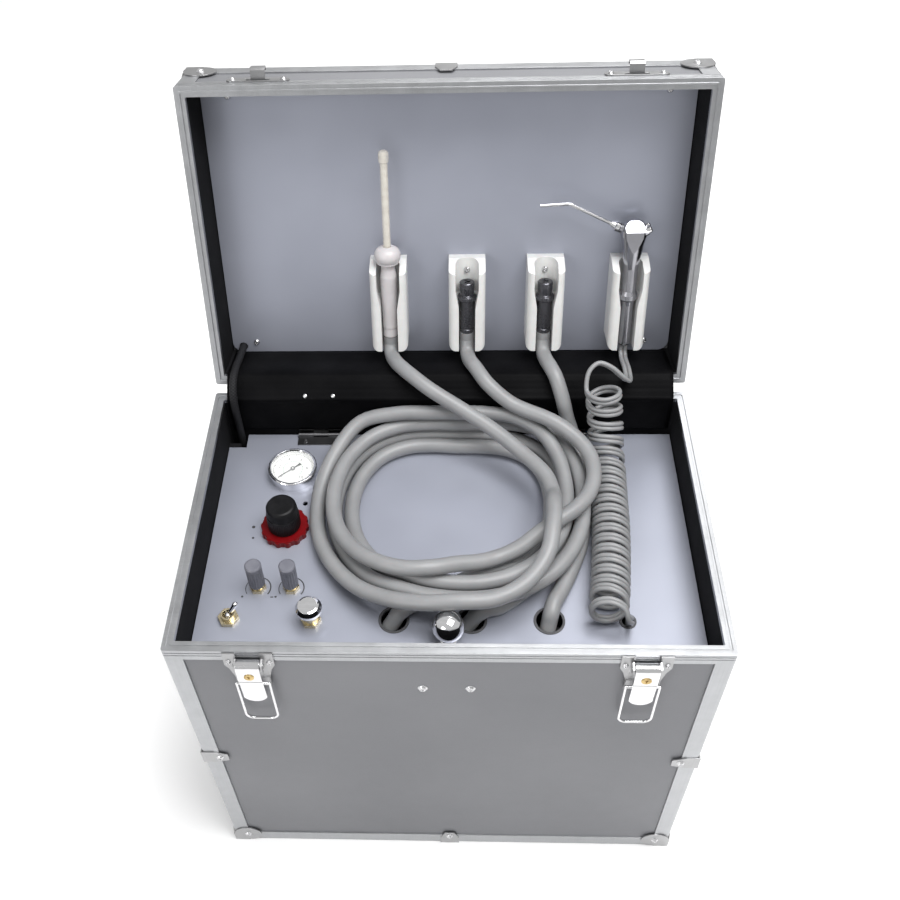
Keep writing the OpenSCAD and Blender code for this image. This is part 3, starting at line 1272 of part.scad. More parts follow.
tail_1 = [[-6, 72.6, 6.4], [16, 85.6, 6.4]];
riser_1 = [[78, 168, 33], [60, 191, 33.5], [36, 212, 39], [12, 226, 47], [-14, 238, 58], [-32, 252, 63],
           [-41, 263, 62.4], [-45, 271, 59.8], [-48, 280, 57.2], [-49.3, 286, 58.6]];
tail_2 = [[40, 60.6, 6.4], [59, 75.6, 6.4]];
riser_2 = [[86, 121, 34.5], [101, 133, 35], [112, 149, 34.5], [117, 169, 34.5], [114, 190, 35],
           [102, 206, 38.5], [85, 217, 43.5], [54, 232, 47], [34, 244, 58], [23, 260, 62.7],
           [19, 270, 60.2], [17, 279, 57.8], [16.2, 286, 59.6]];
middle_3 = [[86, 74, 6.4], [95, 93, 6.4], [104, 117, 6.4], [109.5, 146, 6.4], [109.5, 168, 6.4],
            [109.5, 192, 6.4], [108, 211, 11], [104.5, 224, 20], [99.5, 232, 33], [95.5, 238, 48],
            [90, 250, 60.5], [86, 260, 62.7], [83.5, 270, 60.2], [82, 279, 57.8], [81.2, 286, 59.6]];

// one hose: from the block through its hole, along its tail and loops, and up its riser to the tool
function hose_points(i, tail, pile, riser, end) = concat(outlet_run(i), tail, pile, riser, tool_run(i, end));
function before(tail) = 6 + len(tail);
function raised(list) = [for (p = list) over(p)];
pile_a = loops(pile_1, -60, 720);
pile_b = loops(pile_2, -45, 690);
cut_1 = 2 * before(tail_1) + len(pile_a) - 1;
cut_2 = 2 * before(tail_2) + len(pile_b) - 1;
route_1 = curve(hose_points(0, raised(tail_1), pile_a, raised(riser_1), suction_end), 2,
                before(tail_1), before(tail_1) + len(pile_a) - 1);
route_2 = curve(hose_points(1, raised(tail_2), pile_b, raised(riser_2), connector_s), 2,
                before(tail_2), before(tail_2) + len(pile_b) - 1);
route_3 = curve(hose_points(2, [], [], raised(middle_3), connector_s), 2);

module hose(route, a, b) {
  t = tangents(route);
  n = carried(t, [1, 0, 0]);
  color([0.5, 0.51, 0.53]) tube(part(route, a, b), part(t, a, b), part(n, a, b), round_profile(hose_r, 8));
}
module suction_hose_coil() { hose(route_1, 0, cut_1); }
module suction_hose_riser() { hose(route_1, cut_1, len(route_1) - 1); }
module left_hose_coil() { hose(route_2, 0, cut_2); }
module left_hose_riser() { hose(route_2, cut_2, len(route_2) - 1); }
module right_hose() { hose(route_3, 0, len(route_3) - 1); }
block_x = [nipples[0] - 12, nipples[3] + 12];
echo(str("GAPS hoses to themselves ", apart(route_1, route_1, 7) - hose_d,
         " ", apart(route_2, route_2, 7) - hose_d, " between 1-2 ", apart(route_1, route_2) - hose_d,
         " 1-3 ", apart(route_1, route_3) - hose_d, " 2-3 ", apart(route_2, route_3) - hose_d));
function long(p) = let (steps = [for (i = [1:len(p) - 1]) norm(p[i] - p[i - 1])]) steps * [for (s = steps) 1];

// The curly cord of the syringe: two thin tubes side by side, drawn as one flat tube. It goes up through
// its hole, round an open ring and along its curls. Rows give the coil's axis against the turn.
cord_d = 3.7;
curl_r = 13.2;                        // from the coil's axis to the middle of the cord
curls = 19.5;
curl_axis = [[0, 119, 42, 21], [1, 120, 57, 17.5], [2, 122, 68, 15.8], [5, 125.5, 97, 15.6],
             [8, 128.2, 126, 15.6], [11, 129.6, 155, 15.6], [14, 131, 184, 16],
             [15.2, 131.2, 199, 19], [16.2, 131, 211, 26], [17.2, 130.5, 220, 37], [18.2, 129, 226, 50],
             [19, 127.5, 229, 61], [19.5, 126.5, 230, 67]];
cord_start = [[outlets[3], outlet_y, -panel_t - block_gap], [outlets[3], outlet_y, -panel_t - block_gap + 4],
              [outlets[3], outlet_y, -3], [135.6, 51, 3], [136.2, 46, 11]];
cord_end = [[115, 240, 76], [123, 246, 80.5], [133, 244, 78], [142, 241, 71], [148, 243, 64], [150, 251, 60],
            [150, 262, 59], [150, 270, 56.2], [150, 277, 53.6], [150, 283, 52.5], [150, 287.3, 54.2]];
twin = [[cord_d, 0], [0.7 * cord_d, cord_d / 2], [-0.7 * cord_d, cord_d / 2], [-cord_d, 0],
        [-0.7 * cord_d, -cord_d / 2], [0.7 * cord_d, -cord_d / 2]];
function curl_centre(u) = over([for (k = [1:3]) blend(curl_axis, u, k)]);
function curl_along(u) = unit(curl_centre(u + 0.05) - curl_centre(max(u - 0.05, 0)));
function curl_point(u) = let (d = curl_along(u), x = across([1, 0, 0], d))
  curl_centre(u) + curl_r * (cos(360 * u) * x + sin(360 * u) * cross(x, d));
curl_turns = [for (u = [0:1/8:curls]) u];
curl_first = 2 * len(cord_start);
curl_last = curl_first + len(curl_turns) - 1;
cord_route = curve(concat(raised(cord_start), [for (u = curl_turns) curl_point(u)], raised(cord_end),
                          tool_run(3, syringe_s)), 2, len(cord_start), len(cord_start) + len(curl_turns) - 1);
cord_along = tangents(cord_route);
cord_normals = let (near = [for (i = [0:curl_last])
  across(curl_along(i < curl_first ? 0 : curl_turns[i - curl_first]), cord_along[i])])
  concat(near, carried(part(cord_along, curl_last + 1, len(cord_route) - 1), near[curl_last]));
module cord(a, b) {
  color([0.5, 0.51, 0.53]) tube(part(cord_route, a, b), part(cord_along, a, b), part(cord_normals, a, b),
    twin);
}
module curly_cord() { cord(0, curl_last); }
module cord_tail() { cord(curl_last, len(cord_route) - 1); }
cord_halves = [for (side = [-1, 1]) [for (i = [0:len(cord_route) - 1])
  cord_route[i] + side * cord_d / 2 * cord_normals[i]]];
echo(str("GAPS cord to itself ", min([for (k = [[0, 0], [0, 1], [1, 1]])
  apart(cord_halves[k[0]], cord_halves[k[1]], 5)]) - cord_d,
         " to the hoses ", min([for (c = cord_halves)
           min(apart(c, route_2), apart(c, route_3))]) - hose_r - cord_d / 2));

echo(str("LENGTH hoses ", long(route_1), " ", long(route_2), " ", long(route_3), " cord ", long(cord_route)));

// black sleeve of the lid's lines: from its gland up behind the control panel and into the lid
sleeve_points = [[sleeve_x, case_d - wall - 6, sleeve_foot], [sleeve_x, case_d - wall - 6, sleeve_foot + 8],
                 [sleeve_x, case_d - wall - 6, panel_z + 18], [sleeve_x, 237.5, panel_z + 36],
                 [sleeve_x, 240.6, panel_z + 50], [sleeve_x, 250.5, panel_z + 58.5],
                 lid_spot(sleeve_x, sleeve_s + 0.5, lid_panel_drop - 4), lid_spot(sleeve_x, sleeve_s, 24),
                 lid_spot(sleeve_x, sleeve_s, 8), lid_spot(sleeve_x, sleeve_s, 0),
                 lid_spot(sleeve_x, sleeve_s, -lid_panel_t)];
module sleeve() {
  p = curve(sleeve_points, 2);
  t = tangents(p);
  color([0.07, 0.07, 0.075]) tube(p, t, carried(t, [1, 0, 0]), round_profile(sleeve_d / 2, 8));
}

in_place() {
  base_panels();
  base_liner();
  base_edges();
  base_rim();
  base_fittings();
  case_screws();
  lid_panels();
  lid_edges();
  lid_rim();
  lid_liner();
  lid_panel();
  lid_screws();
  lid_fittings();
  handle();
  hinge_base();
  hinge_lid();
  hinge_cover();
  latch_lever_left();
  latch_lever_right();
  key_plug_left();
  key_plug_right();
  latch_bail_left();
  latch_bail_right();
  control_panel();
  panel_hinge_leaves();
  panel_hinge_base();
  pull_knob();
  gauge_case();
  gauge_dial();
  gauge_needle();
  gauge_glass();
  regulator_ring();
  regulator_stem();
  regulator_knob();
  valve_gear();
  valve_bodies();
  water_knob_left();
  water_knob_right();
  toggle_lever();
  changeover_knob();
  grommets();
  tool_holders();
  suction_handpiece();
  ejector_tip();
  connector_left();
  connector_right();
  syringe_body();
  syringe_nozzle();
  button_air();
  button_water();
  compressor();
  bottles();
  sleeve();
  suction_hose_coil();
  suction_hose_riser();
  left_hose_coil();
  left_hose_riser();
  right_hose();
  curly_cord();
  cord_tail();
}
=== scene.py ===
# %% [markdown]
# A portable dental unit in a hard case. The case, its fittings, the control panel and the tools come
# from the CAD frame and only need their finishes. What bends is made here: hoses, the curly cord, the
# braided sleeve and the vinyl flap, with the small prints that are too thin to be solids. Hard pieces
# could all be modelled again, but the frame is exact, so it is dressed instead.

# %% Load the frame
from math import cos, floor, hypot, pi, radians, sin

import json

import bmesh
import bpy
from mathutils import Matrix, Vector


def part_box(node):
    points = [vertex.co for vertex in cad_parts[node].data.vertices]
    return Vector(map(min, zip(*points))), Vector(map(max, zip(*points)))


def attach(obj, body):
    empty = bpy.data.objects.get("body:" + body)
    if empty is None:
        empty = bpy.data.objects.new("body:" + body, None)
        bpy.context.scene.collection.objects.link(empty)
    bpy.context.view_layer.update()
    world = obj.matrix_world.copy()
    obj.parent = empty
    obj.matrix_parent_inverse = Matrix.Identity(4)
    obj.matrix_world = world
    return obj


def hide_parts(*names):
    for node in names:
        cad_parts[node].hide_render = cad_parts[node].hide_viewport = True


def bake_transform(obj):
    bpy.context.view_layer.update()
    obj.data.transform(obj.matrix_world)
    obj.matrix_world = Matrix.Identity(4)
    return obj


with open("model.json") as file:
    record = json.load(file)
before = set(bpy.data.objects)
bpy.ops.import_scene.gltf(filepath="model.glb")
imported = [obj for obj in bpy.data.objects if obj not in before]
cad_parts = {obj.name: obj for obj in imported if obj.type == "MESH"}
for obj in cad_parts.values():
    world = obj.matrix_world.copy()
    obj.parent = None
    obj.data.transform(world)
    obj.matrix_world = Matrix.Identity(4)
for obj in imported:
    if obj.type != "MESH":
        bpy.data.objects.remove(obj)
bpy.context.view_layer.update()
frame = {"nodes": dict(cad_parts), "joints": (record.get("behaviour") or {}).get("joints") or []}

# %% [markdown]
# Places are measured the way a case maker does: across from the middle, back from the case's front
# face, and up from the control panel or along the lid. They could be typed as world numbers, but the
# frame's own pieces give the front, the panel and the hinge, so the looks follow the frame.

# %% Places on the case and on the lid
case_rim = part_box("base_rim")
FRONT = case_rim[0][1]
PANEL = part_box("control_panel")[1][2]
LEAN = radians(15)  # the open lid leans back by this
HINGE = next(j for j in frame["joints"] if j["name"] == "lid_hinge")["pos_m"]
HINGE_OUT, RIM_GAP = 0.0045, 0.0006  # the lid pivots outside its back, and a gap parts the rims
LID_Y = HINGE[1] + HINGE_OUT * sin(LEAN) + RIM_GAP / 2 * cos(LEAN)
LID_Z = HINGE[2] + HINGE_OUT * cos(LEAN) - RIM_GAP / 2 * sin(LEAN)
LID_PANEL = 0.043  # from the lid's rim back to its panel


def over(x, y, height):
    """A point above the control panel, y measured from the case's front."""
    return Vector((x, FRONT + y, PANEL + height))


def lid_spot(x, along, out):
    """A point out from the lid's panel, along measured up the lid from its hinge side."""
    back = LID_PANEL - out
    y = LID_Y + back * cos(LEAN) + along * sin(LEAN)
    return Vector((x, y, LID_Z - back * sin(LEAN) + along * cos(LEAN)))


print("front and panel at", round(FRONT, 4), round(PANEL, 4))
print("lid starts at", round(LID_Y, 4), round(LID_Z, 4))

# %% [markdown]
# The photograph looks down on the open case from the front. Its tilt, distance and lens came from
# where the case's straight edges meet. The picture was cropped off centre, which a small lens shift
# repeats. A camera aimed by eye at the middle would slant the case's upright edges differently.

# %% Camera
PICTURE = 900  # pixels on a side
FOCAL = 1039.66  # focal length in pixels
CENTRE = (413.3, 431.6)  # where the lens axis meets the picture
SENSOR = 36  # millimetres
STAND = (0.00989, FRONT - 0.36905, 0.97746)  # where the camera stands
TILT = (42.21, 1.95, 1.67)  # its turns in degrees about x, y and z
camera = bpy.data.objects.new("camera", bpy.data.cameras.new("camera"))
camera.location = STAND
camera.rotation_euler = [radians(a) for a in TILT]
camera.data.sensor_width = SENSOR
camera.data.lens = SENSOR * FOCAL / PICTURE
camera.data.shift_x = 0.5 - CENTRE[0] / PICTURE
camera.data.shift_y = CENTRE[1] / PICTURE - 0.5
bpy.context.scene.collection.objects.link(camera)
bpy.context.scene.camera = camera
shift = camera.data.shift_x, camera.data.shift_y
print("lens", round(camera.data.lens, 1), "mm, shift", [round(c, 3) for c in shift])

# %% [markdown]
# A hose is a round section carried along a curve. Blender's curve objects can bevel one, but a mesh
# swept by hand keeps its rings even, takes a flat or twin section as well, and can be blended across a
# joint. The section is carried without twist: each ring's normal is the last one turned the least.

# %% Curves and sections
def unit(v):
    return v / v.length


def across(v, direction):
    """The part of v square to a direction, at length one."""
    return unit(v - v.dot(direction) * direction)


def smooth(points, steps):
    """A curve through points, eased at each by its neighbours' distances."""
    line = []
    for i, (b, c) in enumerate(zip(points, points[1:])):
        a, d = points[max(i - 1, 0)], points[min(i + 2, len(points) - 1)]
        s = (c - b).length
        m = (c - a) * s / (s + (b - a).length)
        n = (d - b) * s / (s + (d - c).length)
        for u in (j / steps for j in range(steps)):
            line.append(b * (2 * u**3 - 3 * u**2 + 1) + m * (u**3 - 2 * u**2 + u)
                        + c * (3 * u**2 - 2 * u**3) + n * (u**3 - u**2))
    return line + [points[-1]]


def tangents(line):
    return [unit(line[min(i + 1, len(line) - 1)] - line[max(i - 1, 0)]) for i in range(len(line))]


def carried(along, first):
    """Normals along a line, turned as little as they can be."""
    normals = [across(first, along[0])]
    for t in along[1:]:
        normals.append(across(normals[-1], t))
    return normals


def circle(radius, sides=20, at=0.0):
    return [(at + radius * cos(2 * pi * j / sides), radius * sin(2 * pi * j / sides)) for j in range(sides)]


def length_of(line):
    return sum((b - a).length for a, b in zip(line, line[1:]))


# %% [markdown]
# A mesh that is built point by point becomes an object in the same few steps each time, so one helper
# takes them. The sweep is the second helper. It lays rings along a line, joins them into walls and
# closes both ends. It also notes how far round and how far along each corner is, for the braid.

# %% Swept tubes
SOFT_CORNER = radians(60)  # edges that bend less than this are shaded smooth


def finished(name, mesh, finish, smooth=False):
    """Turns a mesh under construction into an object with a finish."""
    data = bpy.data.meshes.new(name)
    mesh.to_mesh(data)
    mesh.free()
    if smooth:
        data.polygons.foreach_set("use_smooth", [True] * len(data.polygons))
    piece = bpy.data.objects.new(name, data)
    bpy.context.scene.collection.objects.link(piece)
    data.materials.append(finish.material)
    return piece


def sweep(name, line, sections, finish, normals=None, sizes=None, facing=None):
    """Closed tubes along a line, one for each section, with u round them and v along them in metres."""
    along = facing or tangents(line)
    normals = normals or carried(along, Vector((1, 0, 0)))
    mesh = bmesh.new()
    uv = mesh.loops.layers.uv.new("round_and_along")
    for section in sections:
        rings, run = [], [0.0]
        for i, (p, t, n) in enumerate(zip(line, along, normals)):
            k = sizes[i] if sizes else 1
            rings.append([mesh.verts.new(p + k * q[0] * n + k * q[1] * t.cross(n)) for q in section])
            if i:
                run.append(run[-1] + (p - line[i - 1]).length)
        m = len(section)
        for i, (a, b) in enumerate(zip(rings, rings[1:])):
            for j in range(m):
                face = mesh.faces.new([a[j], a[(j + 1) % m], b[(j + 1) % m], b[j]])
                for loop, (u, v) in zip(face.loops, ((j, i), (j + 1, i), (j + 1, i + 1), (j, i + 1))):
                    loop[uv].uv = (u / m, run[v])
        mesh.faces.new(rings[0][::-1])
        mesh.faces.new(rings[-1])
    tube = finished(name, mesh, finish, smooth=True)
    tube.data.set_sharp_from_angle(angle=SOFT_CORNER)
    return tube


# %% [markdown]
# Shader nodes wired by hand read badly. Here a socket is wrapped so that sums on it add Math nodes,
# and one method adds any other node. A finish then reads as a few lines about grain, wear and shine.

# %% Shader sockets as values
class Wire:
    """A socket of a material. Sums on it add Math nodes, and node() adds any other kind."""

    def __init__(self, tree, socket=None):
        self.tree, self.socket = tree, socket

    def node(self, kind, settings=(), inputs=(), out=0):
        made = self.tree.nodes.new("ShaderNode" + kind)
        for name, value in dict(settings).items():
            if name == "stops":
                ramp = made.color_ramp.elements
                while len(ramp) < len(value):
                    ramp.new(0.5)
                for stop, (at, shade) in zip(ramp, value):
                    stop.position = at
                    stop.color = (*shade, 1) if hasattr(shade, "__len__") else (shade, shade, shade, 1)
            else:
                setattr(made, name, value)
        for name, value in dict(inputs).items():
            if isinstance(value, Wire):
                self.tree.links.new(value.socket, made.inputs[name])
            else:
                made.inputs[name].default_value = value
        return Wire(self.tree, made.outputs[out])

    def math(self, operation, a, b=0.0):
        return self.node("Math", {"operation": operation}, {0: a, 1: b})

    def __add__(self, other):
        return self.math("ADD", self, other)

    def __sub__(self, other):
        return self.math("SUBTRACT", self, other)

    def __rsub__(self, other):
        return self.math("SUBTRACT", other, self)

    def __mul__(self, other):
        return self.math("MULTIPLY", self, other)

    def __gt__(self, other):
        return self.math("GREATER_THAN", self, other)

    __radd__, __rmul__ = __add__, __mul__

    def clamp(self, low=0.0, high=1.0, to=(0.0, 1.0)):
        """This value's run from low to high, laid on another run and held at its ends."""
        return self.node("MapRange", {"clamp": True}, {0: self, 1: low, 2: high, 3: to[0], 4: to[1]})

    def mix(self, a, b):
        """Colour a where this value is 0, and b where it is 1."""
        a, b = [c if isinstance(c, Wire) else (*c, 1) for c in (a, b)]
        return self.node("Mix", {"data_type": "RGBA"}, {0: self, 6: a, 7: b}, out=2)


# %% [markdown]
# Every finish starts from the same few sources: the point on the object, noise at a size in
# millimetres, and a bump. Object coordinates are used, so no piece needs unwrapping and the grain has
# its true size everywhere.

# %% A finish
class Finish(Wire):
    """A material with one shader, whose plain values are set on the shader's own sockets."""

    def __init__(self, name, **values):
        self.material = bpy.data.materials.new(name)
        self.material.use_nodes = True
        super().__init__(self.material.node_tree)
        self.shader = next(n for n in self.tree.nodes if n.type == "BSDF_PRINCIPLED")
        for key, value in values.items():
            socket = self.shader.inputs[key.replace("_", " ")]
            socket.default_value = (*value, 1) if hasattr(value, "__len__") else value
        self.point = self.node("TexCoord", out=3)
        self.material.diffuse_color = (*values["Base_Color"], 1)

    def feed(self, name, value):
        self.tree.links.new(value.socket, self.shader.inputs[name])
        return self

    def stretched(self, x, y, z):
        """The point with each way scaled, for streaks and grain that run one way."""
        return self.node("Mapping", {}, {"Vector": self.point, "Scale": (x, y, z)})

    def noise(self, size, detail=3.0, rough=0.55, at=None):
        """Soft noise from 0 to 1 whose blots are about size millimetres across."""
        return self.node("TexNoise", {}, {"Vector": at or self.point, "Scale": 1000 / size,
                                          "Detail": detail, "Roughness": rough})

    def cells(self, size, feature="F1"):
        """Cells about size millimetres across: 0 in the middle of each, and more toward its edge."""
        return self.node("TexVoronoi", {"feature": feature}, {"Vector": self.point, "Scale": 1000 / size})

    def bump(self, height, depth, normal=None):
        """Feeds a bump of that depth in millimetres."""
        inputs = {"Height": height, "Strength": 1.0, "Distance": depth / 1000}
        if normal:
            inputs["Normal"] = normal
        return self.feed("Normal", self.node("Bump", {}, inputs))

    def edges(self, radius):
        """A normal that rounds sharp edges over that many millimetres."""
        return self.node("Bevel", {"samples": 6}, {"Radius": radius / 1000})


def dimmer(shade, by):
    """The same colour, darker."""
    return tuple(by * c for c in shade)


def dress(finish, *nodes):
    """Gives the CAD nodes this finish."""
    for name in nodes:
        data = frame["nodes"][name].data
        data.materials.clear()
        data.materials.append(finish.material)
    print(finish.material.name, "on", ", ".join(nodes))


# %% [markdown]
# The case's outer skin is a silver sheet with a fine embossed grain. From a pace away it looks plain,
# but it breaks the light softly. Two sizes of noise make the grain, and a broad one keeps
# the big faces from being one flat grey.

# %% Case skin and lining
skin = Finish("case_skin", Base_Color=(0.165, 0.167, 0.178), Metallic=0.35, Roughness=0.5)
grain = skin.noise(0.8, 2) * 0.6 + skin.cells(1.3) * 0.5
tone = skin.noise(160, 2).clamp(0.3, 0.7)
skin.feed("Base Color", tone.mix((0.152, 0.154, 0.165), (0.18, 0.182, 0.194)))
skin.feed("Roughness", (skin.noise(40) * 0.14 + grain * 0.1) + 0.38)
skin.bump(grain, 0.045, skin.edges(0.8))
dress(skin, "base_panels", "lid_panels")

lining = Finish("case_lining", Base_Color=(0.006, 0.006, 0.007), Roughness=0.85, Specular_IOR_Level=0.12)
fibre = lining.noise(0.5, 4, 0.7) + lining.noise(3.0, 2) * 0.4
lining.feed("Base Color", lining.noise(30).clamp(0.3, 0.75).mix((0.004, 0.004, 0.005), (0.009, 0.009, 0.010)))
lining.feed("Roughness", fibre.clamp(0.3, 1.1, (0.74, 0.95)))
lining.bump(fibre, 0.12, lining.edges(0.6))
dress(lining, "base_liner", "lid_liner")

# %% [markdown]
# The corner posts and the rims are drawn aluminium, with faint drawing marks along each length. There
# are two streak patterns: upright ones where the surface stands, and ones that run across where it
# lies flat. Which way the surface faces picks one. Streaks change the shine far more than the colour.

# %% Aluminium edges and rims
def drawn_metal(name, shade, rough):
    """A drawn or brushed metal with faint marks, handling blots and softened edges."""
    metal = Finish(name, Base_Color=shade, Metallic=1.0, Roughness=rough)
    facing = metal.node("SeparateXYZ", {}, {0: metal.node("NewGeometry", {}, {}, 1)}, 2)
    lying = metal.math("ABSOLUTE", facing) > 0.7
    along_z = metal.noise(1.0, 2, at=metal.stretched(1.6, 1.6, 0.02))
    along_x = metal.noise(1.0, 2, at=metal.stretched(0.02, 0.9, 1.6))
    streak = along_z * (1 - lying) + along_x * lying
    blots = metal.noise(14, 4, 0.6)
    metal.feed("Roughness", streak * 0.12 + blots * 0.16 + (rough - 0.13))
    wear = (blots * 0.6 + streak * 0.4).clamp(0.35, 0.7)
    metal.feed("Base Color", wear.mix(dimmer(shade, 0.82), shade))
    metal.bump(streak, 0.012, metal.edges(0.35))
    return metal


trim = drawn_metal("case_trim", (0.44, 0.447, 0.46), 0.36)
dress(trim, "base_edges", "base_rim", "lid_edges", "lid_rim")

# %% [markdown]
# Caps, clips, hinges and screws are pressed steel with a thin bright plating. Handling leaves small dull
# patches on it, and grey dirt stays in the low places. They are kept apart from the latches, which are
# polished and show the room.

# %% Plated steel, screws and hinges
fittings = drawn_metal("case_fittings", (0.40, 0.40, 0.405), 0.3)
dress(fittings, "base_fittings", "lid_fittings", "hinge_base", "hinge_lid")

screws = drawn_metal("screw_steel", (0.7, 0.7, 0.71), 0.26)
dress(screws, "case_screws", "lid_screws")

dark_plate = drawn_metal("dark_hinge", (0.16, 0.16, 0.165), 0.34)
dress(dark_plate, "panel_hinge_leaves", "panel_hinge_base")


def polished(name, shade, rough):
    """Chrome plating: fine wipe marks and a few dull specks over a mirror."""
    chrome = Finish(name, Base_Color=shade, Metallic=1.0, Roughness=rough)
    wipe = chrome.noise(3, 3, at=chrome.stretched(0.3, 1.4, 1))
    specks = chrome.cells(5).clamp(0.0, 0.12, (1, 0))
    chrome.feed("Roughness", wipe.clamp(0.4, 0.8, (rough, rough + 0.1)) + specks * 0.12)
    chrome.feed("Base Color", wipe.clamp(0.3, 0.8).mix(shade, dimmer(shade, 0.88)))
    chrome.bump(chrome.noise(6, 2), 0.02, chrome.edges(0.3))
    return chrome


latch_chrome = polished("latch_chrome", (0.78, 0.78, 0.79), 0.1)
dress(latch_chrome, "latch_lever_left", "latch_lever_right", "latch_bail_left", "latch_bail_right")
knob_chrome = polished("knob_chrome", (0.86, 0.86, 0.87), 0.05)
dress(knob_chrome, "pull_knob", "toggle_lever", "changeover_knob", "gauge_case")
nozzle_chrome = polished("nozzle_chrome", (0.8, 0.8, 0.81), 0.12)
dress(nozzle_chrome, "syringe_nozzle", "button_air", "button_water")

# %% [markdown]
# Brass shows where plating stops: the key plugs, the regulator's stem and the valve bodies. Old brass
# is never one colour. It goes brown in blots, and stays yellow where it is rubbed. The valve gear is
# plated, but it ages in the same blots, so it takes the recipe in grey.

# %% Brass and the plated valve gear
def brass_like(name, bright, dull, rough):
    brass = Finish(name, Base_Color=bright, Metallic=1.0, Roughness=rough)
    blots = brass.noise(5, 5, 0.65).clamp(0.4, 0.7)
    brass.feed("Base Color", blots.mix(bright, dull))
    brass.feed("Roughness", blots * 0.22 + (rough - 0.05))
    brass.bump(brass.noise(0.6, 2), 0.015, brass.edges(0.25))
    return brass


dress(brass_like("key_brass", (0.62, 0.46, 0.2), (0.3, 0.2, 0.08), 0.3), "key_plug_left", "key_plug_right")
dress(brass_like("stem_brass", (0.66, 0.58, 0.4), (0.4, 0.34, 0.22), 0.26), "regulator_stem", "valve_bodies")
dress(brass_like("gear_plated", (0.6, 0.6, 0.6), (0.36, 0.36, 0.37), 0.35), "valve_gear")

# %% [markdown]
# The control panel and the lid's inner panel are satin sheets of aluminium with a bluish cast. Rolling
# leaves a very fine grain across the sheet, which spreads a lamp's reflection into a soft patch.

# %% Satin panels
sheet = Finish("panel_sheet", Base_Color=(0.33, 0.345, 0.405), Metallic=0.5, Roughness=0.42)
rolled = sheet.noise(0.9, 2, at=sheet.stretched(0.12, 1.3, 1.3))
cloud = sheet.noise(90, 2).clamp(0.3, 0.7)
sheet.feed("Base Color", cloud.mix((0.315, 0.33, 0.388), (0.35, 0.365, 0.427)))
sheet.feed("Roughness", rolled * 0.1 + cloud * 0.06 + 0.33)
sheet.bump(rolled + sheet.noise(0.5, 2) * 0.6, 0.012, sheet.edges(0.3))
dress(sheet, "control_panel", "lid_panel")

# %% [markdown]
# Moulded plastics differ by their gloss and by what light does inside them. White holders and the
# suction handle let a little light in, the black knob is dull with paler worn places, and the red ring
# is satin. The compressor under the panel is painted, which looks much like a dull plastic.

# %% Plastics
def moulded(name, shade, rough, grain, worn=None, **values):
    """A moulded plastic: faint texture of the mould, a cloudy tone and paler rubbed places."""
    plastic = Finish(name, Base_Color=shade, Roughness=rough, **values)
    cloud = plastic.noise(9, 3).clamp(0.35, 0.7)
    plastic.feed("Base Color", cloud.mix(shade, worn or dimmer(shade, 0.93)))
    plastic.feed("Roughness", plastic.noise(4, 3) * 0.16 + (rough - 0.08))
    plastic.bump(plastic.noise(grain, 2), 0.02, plastic.edges(0.5))
    return plastic


dress(moulded("holder_white", (0.64, 0.64, 0.63), 0.36, 0.8, Subsurface_Weight=0.05,
              Subsurface_Scale=0.002), "tool_holders")
dress(moulded("suction_plastic", (0.5, 0.478, 0.485), 0.38, 0.7, Subsurface_Weight=0.05,
              Subsurface_Scale=0.002), "suction_handpiece")
dress(moulded("knob_black", (0.003, 0.003, 0.0035), 0.42, 0.5, worn=(0.008, 0.008, 0.009),
              Specular_IOR_Level=0.16), "regulator_knob")
dress(moulded("ring_red", (0.15, 0.002, 0.004), 0.32, 0.8, worn=(0.11, 0.002, 0.003),
              Specular_IOR_Level=0.15), "regulator_ring")
dress(moulded("knob_grey", (0.11, 0.112, 0.135), 0.4, 0.6, worn=(0.14, 0.142, 0.165)),
      "water_knob_left", "water_knob_right")
dress(moulded("handle_plastic", (0.02, 0.02, 0.022), 0.45, 1.0, worn=(0.032, 0.032, 0.034)), "handle")
dress(moulded("grommet_rubber", (0.07, 0.07, 0.074), 0.6, 0.4, worn=(0.09, 0.09, 0.095),
              Specular_IOR_Level=0.2), "grommets")
dress(moulded("dial_white", (0.83, 0.83, 0.80), 0.5, 0.5), "gauge_dial")
dress(moulded("needle_black", (0.012, 0.012, 0.012), 0.4, 0.5), "gauge_needle")
dress(moulded("compressor_paint", (0.12, 0.13, 0.15), 0.4, 1.2), "compressor")

# %% [markdown]
# The handpiece connectors are grey metal with a smoky sheen, and the syringe is satin die-cast metal,
# darker where its plating is thin. Both take the same recipe as drawn metal, only smoother.

# %% Connectors and syringe
dress(drawn_metal("connector_steel", (0.14, 0.14, 0.155), 0.28), "connector_left", "connector_right")
dress(drawn_metal("syringe_metal", (0.42, 0.42, 0.45), 0.22), "syringe_body")

# %% [markdown]
# Three pieces are clear: the ejector's tube, the gauge's window and the bottles. Real refraction turns
# thick clear plastic dark in a render. Here the shader's Alpha lets most of the light pass straight
# through instead, which stays bright and exports well.

# %% Clear pieces
def clear(name, tint, share, rough=0.06):
    """A thin clear wall that lets most light straight through and keeps its gloss."""
    glass = Finish(name, Base_Color=tint, Roughness=rough, IOR=1.45, Alpha=share)
    haze = glass.noise(7, 3).clamp(0.35, 0.75)
    glass.feed("Alpha", haze.clamp(0, 1, (share, min(1.0, share + 0.12))))
    glass.feed("Roughness", haze * 0.12 + rough)
    glass.bump(glass.noise(5, 2), 0.02)
    return glass


dress(clear("tip_clear", (0.8, 0.76, 0.68), 0.34), "ejector_tip")
dress(clear("gauge_window", (0.9, 0.92, 0.92), 0.07, 0.02), "gauge_glass")
dress(clear("bottle_clear", (0.75, 0.8, 0.82), 0.4), "bottles")

# %% [markdown]
# The hoses are soft grey vinyl: smooth, a little shiny, with a faint haze of handling and very slight
# unevenness from the extruder. A wide, shallow bump gives that unevenness. It is what keeps a smooth
# tube from looking like a drawing.

